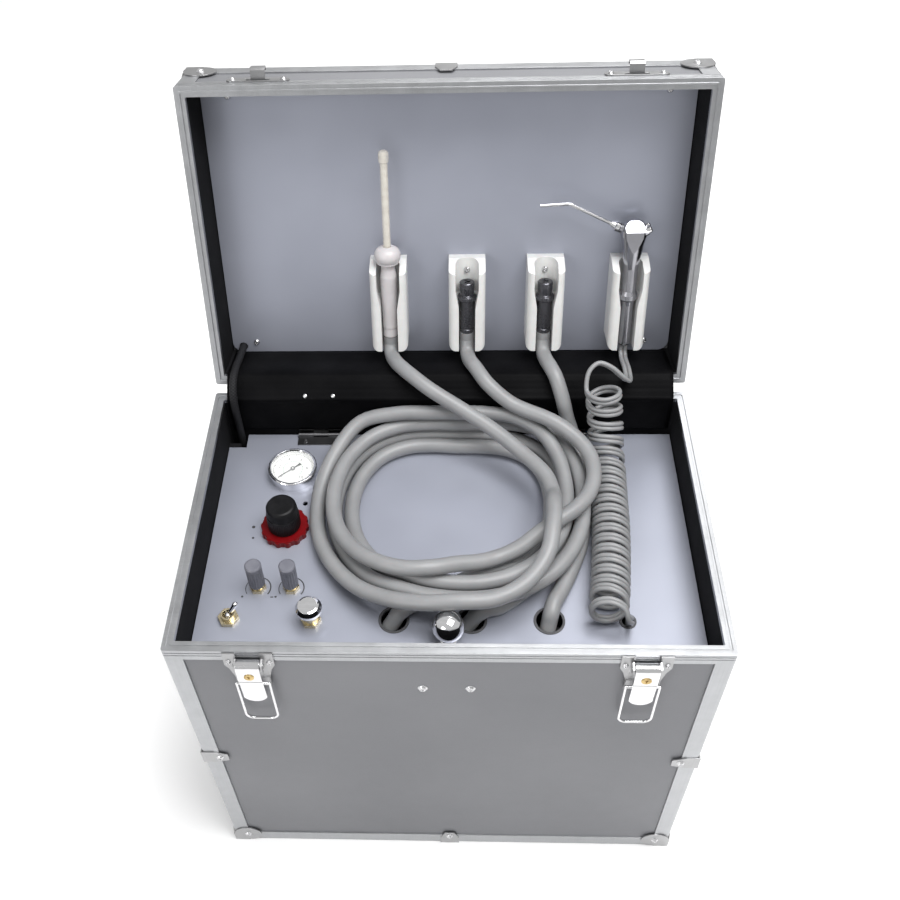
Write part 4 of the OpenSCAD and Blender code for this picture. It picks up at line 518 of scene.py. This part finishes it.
# %% Hose finish
hose_grey = Finish("hose_grey", Base_Color=(0.22, 0.222, 0.227), Roughness=0.42, Subsurface_Weight=0.04,
                   Subsurface_Scale=0.0015)
handling = hose_grey.noise(24, 4, 0.6).clamp(0.3, 0.75)
hose_grey.feed("Base Color", handling.mix((0.205, 0.207, 0.212), (0.24, 0.242, 0.247)))
hose_grey.feed("Roughness", handling * 0.12 + hose_grey.noise(3, 2) * 0.08 + 0.34)
hose_grey.bump(hose_grey.noise(11, 2) + hose_grey.noise(0.5, 2) * 0.1, 0.12)

# %% [markdown]
# A hose's route repeats the one that the case was built round. First it slants up through its hole,
# then it lies along the panel and goes round the pile of loops, and last it climbs over the flap to
# its tool. The pile is given as lanes and layers against the angle, because that is how hoses nest.

# %% Routes of the hoses
HOSE = 0.0124  # a hose's outer diameter
OUTLETS = [-0.040 + i * 0.0584 for i in range(3)]  # the three hoses' holes, from the left
OUTLET_Y = 0.052  # the row of holes, back from the front
HOLDERS = [-0.0495, 0.016, 0.081, 0.150]  # the four tools' places, from the left
TOOL_OUT = 0.016  # tools' axes stand this far out from the lid's panel
LANE, LAYER = HOSE + 0.0016, HOSE + 0.001  # from one strand to the next, beside and above it
LYING = HOSE / 2 + 0.0002  # the middle of a hose that lies on the panel
PILE = Vector((0.008, 0.1476))  # the middle of the loops
PILE_STEP = 15  # degrees from one point of the pile to the next
# the pile's outline, and each strand's rows of angle, lane and layer
PILE_SHAPE = [(-90, 76), (-45, 76), (0, 75), (45, 84), (90, 73.4), (135, 89), (180, 86), (225, 80), (270, 76),
              (315, 76), (360, 75), (405, 84), (450, 73.4)]
PILE_ROWS = {
    "suction": [(-60, -1, 0), (-30, -0.3, 0), (0, 0, 0), (90, 0, 0), (180, 0, 0), (220, 0, 0.3),
        (240, 0, 1.06), (270, 0, 1.06), (315, 0.45, 1.06), (345, 0.78, 1.03), (360, 0.85, 1),
        (375, 0.85, 1.12), (390, 0.9, 1.38), (405, 1, 1.75), (420, 1.02, 2), (450, 1, 2.03),
        (465, 0.95, 2.03), (480, 1.21, 1.97), (495, 1.95, 1.6), (507, 2, 1), (520, 2.03, 0.4),
        (540, 2.03, 0), (585, 2, 0.7), (605, 1.95, 1.5), (630, 1.8, 2.1), (650, 1.85, 2.1),
        (670, 1.45, 2.6), (682, 0.9, 3.02), (697, 0.3, 3.15), (708, 0.1, 2.9), (720, 0, 2.1)],
    "left": [(-45, 0.7, 0), (-20, 0.9, 0), (0, 0.97, 0), (45, 1, 0), (90, 0.97, 0), (105, 0.97, 0),
        (120, 1, 0), (180, 1, 0), (220, 1, 0.3), (240, 1, 1.06), (270, 1, 1.06), (315, 1.5, 1.06),
        (345, 1.75, 1.02), (360, 1.78, 1), (375, 1.8, 0.98), (390, 1.8, 0.98), (405, 1.7, 0.98),
        (420, 1.4, 0.98), (435, 1.07, 1), (450, 0.97, 1.01), (465, 0.96, 1.01), (540, 1, 1.02),
        (565, 0.9, 1.35), (585, 0.65, 1.85), (600, 0.35, 2.12), (615, -0.2, 2.12), (630, -0.8, 1.75),
        (662, -1, 1.2), (690, -0.15, 1.9)],
}

# %% [markdown]
# A strand's lane and layer are typed only where they change. Between those rows they are eased, with the
# same kind of curve that the hoses' points are joined by, so no corner shows where a row sits.

# %% Reading the rows
def eased(rows, at, column):
    """A column of rows at any place along them, with no corner at a row."""
    def slope(i):
        a, b = rows[max(i - 1, 0)], rows[min(i + 1, len(rows) - 1)]
        return (b[column] - a[column]) / (b[0] - a[0])
    i = max(j for j in range(len(rows) - 1) if rows[j][0] <= at)
    d = rows[i + 1][0] - rows[i][0]
    u = (at - rows[i][0]) / d
    return (rows[i][column] * (2 * u**3 - 3 * u**2 + 1) + d * slope(i) * (u**3 - 2 * u**2 + u)
            + rows[i + 1][column] * (3 * u**2 - 2 * u**3) + d * slope(i + 1) * (u**3 - u**2))


def loops(rows, first, last):
    """Points of a strand in the pile, from one angle to another in degrees."""
    points = []
    for angle in range(first, last + 1, PILE_STEP):
        turn = floor((angle + 90) / 360) * 360  # the pile's shape is given from -90 on
        r = eased(PILE_SHAPE, angle - turn, 1) / 1000 + eased(rows, angle, 1) * LANE
        a = radians(angle)
        height = LYING + eased(rows, angle, 2) * LAYER
        points.append(over(PILE.x + r * cos(a), PILE.y + r * sin(a), height))
    return points


def raised(rows):
    """Points over the panel, typed in millimetres: across, back and up."""
    return [over(*(c / 1000 for c in row)) for row in rows]


def outlet_run(i, heading):
    """From the block under the panel up through hole i, bending over to the heading in degrees."""
    way = Vector((cos(radians(heading)), sin(radians(heading)), 0))
    hole = over(OUTLETS[i], OUTLET_Y, 0)
    steps = [(-8, -20.7), (-8, -14.8), (-5, -6.8), (0, -0.7), (4.3, 4.8), (12.5, 7.1)]
    return [hole + way * out / 1000 + Vector((0, 0, up / 1000)) for out, up in steps]


def tool_run(i, along):
    """The last points, straight up into tool i, whose end is that far up the lid in millimetres."""
    return [lid_spot(HOLDERS[i], (along - back) / 1000, TOOL_OUT) for back in (8, 4, 0.3)]


# %% [markdown]
# From the pile the hoses climb over the flap and come down again into their tools. These points follow
# no rule. They were read off the photograph one by one, and moved until strands and walls stayed clear.

# %% The climbs, and each route from end to end
RISERS = {
    "suction": [(78, 168, 33), (60, 191, 33.5), (36, 212, 39), (12, 226, 47), (-14, 238, 58), (-32, 252, 63),
        (-41, 263, 62.4), (-45, 271, 59.8), (-48, 280, 57.2), (-49.3, 286, 58.6)],
    "left": [(86, 121, 34.5), (101, 133, 35), (112, 149, 34.5), (117, 169, 34.5), (114, 190, 35),
        (102, 206, 38.5), (85, 217, 43.5), (54, 232, 47), (34, 244, 58), (23, 260, 62.7),
        (19, 270, 60.2), (17, 279, 57.8), (16.2, 286, 59.6)],
    "right": [(86, 74, 6.4), (95, 93, 6.4), (104, 117, 6.4), (109.5, 146, 6.4), (109.5, 168, 6.4),
        (109.5, 192, 6.4), (108, 211, 11), (104.5, 224, 20), (99.5, 232, 33), (95.5, 238, 48),
        (90, 250, 60.5), (86, 260, 62.7), (83.5, 270, 60.2), (82, 279, 57.8), (81.2, 286, 59.6)],
}
STEPS = 5  # rings from one point of a route to the next
suction_loops, left_loops = loops(PILE_ROWS["suction"], -60, 720), loops(PILE_ROWS["left"], -45, 690)
hose_points = {
    "suction": outlet_run(0, 34) + raised([(-6, 72.6, 6.4), (16, 85.6, 6.4)]) + suction_loops
    + raised(RISERS["suction"]) + tool_run(0, 33),
    "left": outlet_run(1, 26) + raised([(40, 60.6, 6.4), (59, 75.6, 6.4)]) + left_loops
    + raised(RISERS["left"]) + tool_run(1, 36.5),
    "right": outlet_run(2, 72) + raised(RISERS["right"]) + tool_run(2, 36.5),
}
for name, points in hose_points.items():
    print(name, "hose", round(length_of(smooth(points, STEPS)), 3), "m along", len(points), "points")

# %% [markdown]
# One tube can't follow a lifting panel, a closing lid and a tool at once, because a blend works across
# one joint. Each hose is swept in three lengths that meet ring to ring: the coil, the climb and the end.
# At rest the joins don't show.

# %% Hoses
def three_lengths(name, points, cuts, sections, tool, nodes, ends, normals=None):
    """Sweeps a route in three lengths that meet ring to ring. cuts count points back from the route's end.
    ends gives a start and an end for each length, as across, back and up, and is not used."""
    line = smooth(points, STEPS)
    along = tangents(line)
    normals = normals(along) if normals else carried(along, Vector((1, 0, 0)))
    marks = [0, *(len(line) - cut * STEPS for cut in cuts), len(line) - 1]
    pieces = []
    for part, a, b in zip(("loops", "climb", "end"), marks, marks[1:]):
        piece = sweep(f"{name}_{part}", line[a:b + 1], sections, hose_grey, normals[a:b + 1],
                      facing=along[a:b + 1])
        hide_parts(*nodes)
        pieces.append(piece)
    across_joints = (("panel", "base"), ("base", "lid"), ("lid", tool))
    for piece, bodies, (start, end) in zip(pieces, across_joints, ends):
        over(*start)
        over(*end)
        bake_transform(piece)
    return line, line[:marks[1] + 1], pieces


ROUND = [circle(HOSE / 2)]
LEAVES_PANEL = ((0, .206, .006), (0, .2365, .030))
INTO_TOOL = ((0, .271, .05), (0, .288, .05))
hoses = {
    "suction": three_lengths("suction_hose", hose_points["suction"], (9, 6), ROUND, "suction_tool",
                             ("suction_hose_coil", "suction_hose_riser"),
                             [LEAVES_PANEL, ((0, .240, .05), (0, .266, .05)), INTO_TOOL]),
    "left": three_lengths("left_hose", hose_points["left"], (8, 6), ROUND, "left_connector",
                          ("left_hose_coil", "left_hose_riser"),
                          [LEAVES_PANEL, ((0, .246, .05), (0, .268, .05)), INTO_TOOL]),
    "right": three_lengths("right_hose", hose_points["right"], (9, 6), ROUND, "right_connector",
                           ("right_hose",),
                           [LEAVES_PANEL, ((0, .242, .05), (0, .266, .05)), INTO_TOOL]),
}
for name, (line, first, pieces) in hoses.items():
    length_of(first)
    "coiled" if name != "right" else "loose"
    print(name, "hose", round(length_of(line), 3), "m,", round(length_of(first), 3), "m of it to the climb")

# %% [markdown]
# The syringe's cord carries air and water in two thin tubes side by side, wound so that it springs back.
# It is a helix round a bent axis. Its flat section is kept in line with that axis, so the pair
# lies neatly from turn to turn, as the wound cord does.

# %% Curly cord
TUBE = 0.0037  # each of the two tubes' diameter
CURL_RADIUS, CURLS = 0.0132, 19.5
PER_CURL = 8  # points in each curl
NEARBY = 0.05  # how far along, in curls, the axis is compared to find its way
# the axis of the curls as the count so far, across, back and up
CURL_AXIS = [(0, 119, 42, 21), (1, 120, 57, 17.5), (2, 122, 68, 15.8), (5, 125.5, 97, 15.6),
              (8, 128.2, 126, 15.6), (11, 129.6, 155, 15.6), (14, 131, 184, 16), (15.2, 131.2, 199, 19),
              (16.2, 131, 211, 26), (17.2, 130.5, 220, 37), (18.2, 129, 226, 50), (19, 127.5, 229, 61),
              (19.5, 126.5, 230, 67)]
CORD_START = [(135.2, 52, -21), (135.2, 52, -17), (135.2, 52, -3), (135.6, 51, 3), (136.2, 46, 11)]
CORD_END = [(115, 240, 76), (123, 246, 80.5), (133, 244, 78), (142, 241, 71), (148, 243, 64),
            (150, 251, 60), (150, 262, 59), (150, 270, 56.2), (150, 277, 53.6), (150, 283, 52.5),
            (150, 287.3, 54.2)]


def curl_centre(turn):
    return raised([[eased(CURL_AXIS, turn, k) for k in (1, 2, 3)]])[0]


def curl_way(turn):
    turn = min(max(turn, 0), CURLS)
    return unit(curl_centre(min(turn + NEARBY, CURLS)) - curl_centre(max(turn - NEARBY, 0)))


def curl_point(turn):
    way = curl_way(turn)
    side = across(Vector((1, 0, 0)), way)
    spoke = cos(2 * pi * turn) * side + sin(2 * pi * turn) * side.cross(way)
    return curl_centre(turn) + CURL_RADIUS * spoke


def flat_to_axis(along):
    """Normals that lie along the coil's axis while the cord curls, and then turn as little as they can."""
    before, last = len(CORD_START), (len(CORD_START) + int(CURLS * PER_CURL)) * STEPS
    near = [across(curl_way((i / STEPS - before) / PER_CURL), along[i]) for i in range(last + 1)]
    return near + carried(along[last:], near[-1])[1:]


curled = [curl_point(k / PER_CURL) for k in range(int(CURLS * PER_CURL) + 1)]
cord_points = raised(CORD_START) + curled + raised(CORD_END) + tool_run(3, 24)
pair = [circle(TUBE / 2, 12, -TUBE / 2), circle(TUBE / 2, 12, TUBE / 2)]
cord_line, coil_line, cord_pieces = three_lengths(
    "curly_cord", cord_points, (10, 8), pair, "syringe", ("curly_cord", "cord_tail"),
    [((0, .205, .020), (0, .230, .066)), ((0, .245, .06), (0, .260, .06)),
     ((0, .263, .05), (0, .286, .05))], flat_to_axis)
length_of(coil_line)
print("curly cord", round(length_of(cord_line), 3), "m in", CURLS, "curls")

# %% [markdown]
# The lid's lines run in a black braided sleeve. From near it is a weave of small slanting ribs. The
# braid is part geometry, a slight swelling of the rings, and part bump, which follows the tube's own
# round-and-along coordinates, since object coordinates would smear on the bends.

# %% Braided sleeve
braid = Finish("sleeve_braid", Base_Color=(0.008, 0.008, 0.009), Roughness=0.6, Specular_IOR_Level=0.2)
RIBS, RIB_RATE = 6, 420  # slanting ribs round the sleeve, and along each metre of it
place = braid.node("UVMap", {"uv_map": "round_and_along"})
around, lengthwise = (braid.node("SeparateXYZ", {}, {0: place}, out) for out in (0, 1))
rising = braid.math("SINE", (around * RIBS + lengthwise * RIB_RATE) * (2 * pi))
falling = braid.math("SINE", (around * RIBS - lengthwise * RIB_RATE) * (2 * pi))
weave = (rising + falling).clamp(-1.6, 1.6)
braid.feed("Base Color", weave.mix((0.003, 0.003, 0.004), (0.018, 0.018, 0.02)))
braid.feed("Roughness", weave * -0.2 + 0.75)
braid.bump(weave, 0.25)

SLEEVE_X, SLEEVE_D = -0.182, 0.0065
sleeve_points = raised([(-182, 238, -26), (-182, 238, -18), (-182, 238, 18), (-182, 237.5, 36),
                        (-182, 240.6, 50), (-182, 250.5, 58.5)])
sleeve_points += [lid_spot(SLEEVE_X, along, out) for along, out in
                  ((0.0145, 0.039), (0.014, 0.024), (0.014, 0.008), (0.014, 0), (0.014, -0.002))]
sleeve_line = smooth(sleeve_points, 8)
swelling = [1 - 0.03 * (i % 2) for i in range(len(sleeve_line))]
sleeve = sweep("braided_sleeve", sleeve_line, [circle(SLEEVE_D / 2, 24)], braid, sizes=swelling)
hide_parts("sleeve")
over(0, .2375, .040)
over(0, .2605, .058)
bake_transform(sleeve)
length_of(sleeve_line)
print("sleeve", round(length_of(sleeve_line), 3), "m")

# %% [markdown]
# A black vinyl flap closes the gap behind the panel, so that nothing falls in while the lid moves. It is
# tucked down behind the panel and glued to the lid. It bends where the two rims meet, and its own
# stiffness leaves shallow cross folds and puckers. They are modelled, since they catch the light.

# %% Vinyl flap
WALL, PLAY = 0.008, 0.006  # the case's wall, and what the flap leaves free beside it in all
FLAP_THICK, COLUMNS = 0.0012, 96
flap_path = [lid_spot(0, 0.009, 0.003), lid_spot(0, 0.009, 0.021), lid_spot(0, 0.0096, 0.0432),
             over(0, .252, .0495), over(0, .245, .0436), over(0, .243, .0419), over(0, .243, .038),
             over(0, .243, .021), over(0, .2431, .005)]
flap_line = smooth(flap_path, 7)
flap_width = 2 * round(case_rim[1][0], 4) - 2 * WALL - PLAY


def unevenness(x, v):
    """How far the flap stands out at x across and at a share v of its length: puckers, and two folds."""
    pucker = 0.0003 * sin(31 * x + 9 * v) * sin(pi * v) * (1 + 0.6 * sin(113 * x))
    fold = -0.0004 * sum(max(0, 1 - abs(v - at) / 0.02) for at in (0.3, 0.42))
    return pucker * 0.6 + fold


flap_mesh = bmesh.new()
rows = []
for i, (p, t) in enumerate(zip(flap_line, tangents(flap_line))):
    normal = t.cross(Vector((1, 0, 0)))
    v = i / (len(flap_line) - 1)
    row = []
    for side in (0.5, -0.5):
        for j in range(COLUMNS + 1):
            x = flap_width * (j / COLUMNS - 0.5)
            out = side * FLAP_THICK + unevenness(x, v)
            row.append(flap_mesh.verts.new(p + Vector((x, 0, 0)) + normal * out))
    rows.append((row[:COLUMNS + 1], row[COLUMNS + 1:]))
for (top, under), (next_top, next_under) in zip(rows, rows[1:]):
    for j in range(COLUMNS):
        flap_mesh.faces.new([top[j], top[j + 1], next_top[j + 1], next_top[j]])
        flap_mesh.faces.new([under[j], next_under[j], next_under[j + 1], under[j + 1]])
    for edge in (0, COLUMNS):
        flap_mesh.faces.new([top[edge], next_top[edge], next_under[edge], under[edge]])
for top, under in (rows[0], rows[-1]):
    for j in range(COLUMNS):
        flap_mesh.faces.new([top[j], under[j], under[j + 1], top[j + 1]])
bmesh.ops.recalc_face_normals(flap_mesh, faces=flap_mesh.faces)

vinyl = Finish("cover_vinyl", Base_Color=(0.003, 0.003, 0.0035), Roughness=0.5, Specular_IOR_Level=0.03)
hide = vinyl.cells(1.1, "SMOOTH_F1") + vinyl.noise(0.7, 2) * 0.4
scuffs = vinyl.noise(35, 3).clamp(0.3, 0.75)
vinyl.feed("Base Color", scuffs.mix((0.0022, 0.0022, 0.0026), (0.005, 0.005, 0.0055)))
vinyl.feed("Roughness", hide * 0.12 + vinyl.noise(20, 2) * 0.12 + 0.36)
vinyl.bump(hide, 0.08)
flap = finished("hinge_flap", flap_mesh, vinyl, smooth=True)
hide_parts("hinge_cover")
FLAP_BEND = over(0, .243, .040), over(0, .2605, .055)
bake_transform(flap)
length_of(flap_line)
print("flap", round(flap_width, 3), "by", round(length_of(flap_line), 3), "m")

# %% [markdown]
# Marks on the panel are screen printed: an arc round each water knob that swells from less to more,
# with a dot and a dash at its ends, and a pair of dots by the regulator. They are thin raised shapes,
# because a print that is only a pattern in the shader would be lost on a plain export of the mesh.

# %% Printed marks
INK_THICK, HAIR = 0.00006, 0.00002  # a print's thickness, and how far it floats over its sheet


def flat_shape(name, outlines, z, finish):
    """Closed outlines as one thin raised shape, at height z over the control panel."""
    mesh = bmesh.new()
    for outline in outlines:
        face = mesh.faces.new([mesh.verts.new(over(x, y, z)) for x, y in outline])
        face.normal_update()
        if face.normal.z < 0:
            face.normal_flip()
        for v in bmesh.ops.extrude_face_region(mesh, geom=[face])["geom"]:
            if isinstance(v, bmesh.types.BMVert):
                v.co.z += INK_THICK
    bmesh.ops.recalc_face_normals(mesh, faces=mesh.faces)
    return finished(name, mesh, finish)


def arc_band(x, y, r, first, last, w0, w1, n=24):
    """Outline of a band along an arc in degrees, w0 wide at its start and w1 at its end."""
    angles = [radians(first + (last - first) * k / n) for k in range(n + 1)]
    widths = [w0 + (w1 - w0) * k / n for k in range(n + 1)]
    outer = [(x + (r + w / 2) * cos(a), y + (r + w / 2) * sin(a)) for a, w in zip(angles, widths)]
    inner = [(x + (r - w / 2) * cos(a), y + (r - w / 2) * sin(a)) for a, w in zip(angles, widths)]
    return outer + inner[::-1]


def dot(x, y, r):
    return [(x + u, y + v) for u, v in circle(r, 24)]


def dash(x, y, wide, tall):
    return [(x, y), (x + wide, y), (x + wide, y + tall), (x, y + tall)]


ink = moulded("print_ink", (0.03, 0.03, 0.033), 0.55, 0.3, worn=(0.06, 0.06, 0.063))
WATER_KNOBS, KNOB_ROW = (-0.147, -0.121), 0.080
marks = []
for x in WATER_KNOBS:
    marks.append(arc_band(x, KNOB_ROW, 0.0098, 215, -35, 0.0005, 0.0011))
    marks.append(dot(x - 0.0115, KNOB_ROW - 0.008, 0.0009))
    marks.append(dash(x + 0.0105, KNOB_ROW - 0.0088, 0.0022, 0.001))
marks += [dot(-0.1585, 0.139, 0.0014), dot(-0.1575, 0.128, 0.0010)]
prints = flat_shape("panel_print", marks, HAIR, ink)
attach(prints, "panel")
print("panel print:", len(marks), "marks")

# %% [markdown]
# The gauge's dial has a scale of ten with plain numbers, fine ticks between, and a second ring of
# ticks in green inside. Numbers come from Blender's own font, turned into mesh so that they export
# as shapes. They stand a hair above the dial, under the window.

# %% Gauge scale
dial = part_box("gauge_dial")
DIAL_R = (dial[1][0] - dial[0][0]) / 2
GAUGE = [(dial[0][0] + dial[1][0]) / 2, (dial[0][1] + dial[1][1]) / 2 - FRONT]
GAUGE_TALL, DIAL_DEEP = 0.0105, 0.0040  # the bezel's top over the panel, and the dial's face below it
DIAL_TOP = GAUGE_TALL - DIAL_DEEP + HAIR
ZERO_AT, FULL_AT = -140, -410  # the scale's ends in degrees: it runs clockwise from the lower left
FINE_LINE = 0.0003


def on_scale(share, r):
    """A place on the dial at a share of the scale."""
    a = radians(ZERO_AT + (FULL_AT - ZERO_AT) * share)
    return GAUGE[0] + r * cos(a), GAUGE[1] + r * sin(a)


def tick(share, r0, r1, w):
    (x0, y0), (x1, y1) = on_scale(share, r0), on_scale(share, r1)
    half = w / 2 / hypot(x1 - x0, y1 - y0)
    nx, ny = (y0 - y1) * half, (x1 - x0) * half
    return [(x0 - nx, y0 - ny), (x0 + nx, y0 + ny), (x1 + nx, y1 + ny), (x1 - nx, y1 - ny)]


def ticks(count, long, short, widths):
    """Ticks along the whole scale, each fifth a long one. long and short are pairs of radii."""
    return [tick(k / count, *(short if k % 5 else long), widths[k % 5 > 0]) for k in range(count + 1)]


RING, INNER_RING = DIAL_R - 0.0012, 0.0082
scale_marks = ticks(50, (RING - 0.0026, RING), (RING - 0.0014, RING), (0.0004, 0.0002))
scale_marks.append(arc_band(*GAUGE, RING + 0.0001, ZERO_AT, FULL_AT, FINE_LINE, FINE_LINE, 72))
scale = flat_shape("gauge_scale", scale_marks, DIAL_TOP, ink)
green = moulded("scale_green", (0.02, 0.20, 0.12), 0.5, 0.3, worn=(0.03, 0.24, 0.15))
inner_marks = ticks(30, (INNER_RING, INNER_RING + 0.0016), (INNER_RING, INNER_RING + 0.0009),
                    (0.00025, 0.00025))
inner_marks.append(arc_band(*GAUGE, INNER_RING, ZERO_AT, FULL_AT, FINE_LINE, FINE_LINE, 60))
inner_scale = flat_shape("gauge_inner_scale", inner_marks, DIAL_TOP, green)

NUMBER_TALL, NUMBER_IN, NUMBER_THICK = 0.0042, 0.0046, 0.00003  # height, distance inside the ring
numbers = bmesh.new()
for k in range(0, 11, 2):
    text = bpy.data.curves.new("number", "FONT")
    text.body, text.size, text.align_x, text.align_y = str(k), NUMBER_TALL, "CENTER", "CENTER"
    text.extrude, text.resolution_u = NUMBER_THICK, 3
    holder = bpy.data.objects.new("number", text)
    figure = bpy.data.meshes.new_from_object(holder)
    x, y = on_scale(k / 10, RING - NUMBER_IN)
    figure.transform(Matrix.Translation(over(x, y, DIAL_TOP + NUMBER_THICK)))
    numbers.from_mesh(figure)
    bpy.data.objects.remove(holder)
number_ring = finished("gauge_numbers", numbers, ink)
for piece in (scale, inner_scale, number_ring):
    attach(piece, "panel")
print("dial", round(DIAL_R * 2000, 1), "mm across,", len(scale_marks) + len(inner_marks), "marks")

# %% [markdown]
# Two small rivets show on the flap over the panel's hinge. A rivet's head is a shallow dome, so it is turned
# from a short profile.

# %% Rivets on the flap
DOME_PROFILE = [(1, 0), (1, 0.25), (0.86, 0.66), (0.5, 0.93)]  # shares of its radius and height


def dome(mesh, centre, axis, radius, height):
    """A shallow turned dome standing on centre along axis."""
    first = across(Vector((1, 0, 0)), axis)
    second = axis.cross(first)
    spokes = [first * u + second * v for u, v in circle(1)]
    rings = []
    for r, h in DOME_PROFILE:
        foot = centre + axis * (h * height)
        rings.append([mesh.verts.new(foot + spoke * (r * radius)) for spoke in spokes])
    top = mesh.verts.new(centre + axis * height)
    sides = len(spokes)
    for a, b in zip(rings, rings[1:]):
        for j in range(sides):
            mesh.faces.new([a[j], a[(j + 1) % sides], b[(j + 1) % sides], b[j]])
    for j in range(sides):
        mesh.faces.new([rings[-1][j], rings[-1][(j + 1) % sides], top])
    mesh.faces.new(rings[0][::-1])


RIVET_X, RIVET_R, RIVET_TALL = (-0.1219, -0.0980), 0.0019, 0.0009
OUT_OF_FLAP = unit(Vector((0, -0.6, 0.8)))
rivets = bmesh.new()
for x in RIVET_X:
    dome(rivets, over(x, 0.2449, 0.0443), OUT_OF_FLAP, RIVET_R, RIVET_TALL)
rivet_piece = finished("flap_rivets", rivets, screws, smooth=True)
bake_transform(rivet_piece)
print("rivets:", len(RIVET_X))

# %% [markdown]
# The light is a studio's: a pale floor, a soft white world and three big area lamps give it evenly, with
# long soft reflections on the metal. Black cards aren't needed: the case's own lining darkens the
# chrome. The Standard view keeps the floor white and the lining black, where the default greys both.

# %% Floor, world and lamps
floor_mesh = bmesh.new()
bmesh.ops.create_grid(floor_mesh, x_segments=24, y_segments=24, size=4)
paper = Finish("floor_paper", Base_Color=(0.9, 0.9, 0.9), Roughness=0.9)
paper.feed("Base Color", paper.noise(400, 2).clamp(0.3, 0.7).mix((0.88, 0.88, 0.88), (0.92, 0.92, 0.92)))
finished("floor", floor_mesh, paper)

world = bpy.data.worlds.new("studio")
world.use_nodes = True
sky = world.node_tree.nodes["Background"].inputs
sky["Color"].default_value = (1, 1, 1, 1)
sky["Strength"].default_value = 0.6
bpy.context.scene.world = world
bpy.context.scene.view_settings.view_transform = "Standard"


def lamp(name, place, aim, size, watts):
    data = bpy.data.lights.new(name, "AREA")
    data.shape, data.size, data.energy = "SQUARE", size, watts
    light = bpy.data.objects.new(name, data)
    light.location = place
    light.rotation_euler = (Vector(aim) - Vector(place)).to_track_quat("-Z", "Y").to_euler()
    bpy.context.scene.collection.objects.link(light)


lamp("overhead", place=(0.5, -0.2, 2.0), aim=(0, 0, 0.3), size=1.2, watts=44)
lamp("front_left", place=(-1.3, -1.6, 1.4), aim=(0, 0, 0.3), size=1.0, watts=15)
lamp("behind", place=(0.3, 1.6, 1.6), aim=(0, 0.1, 0.4), size=1.2, watts=18)
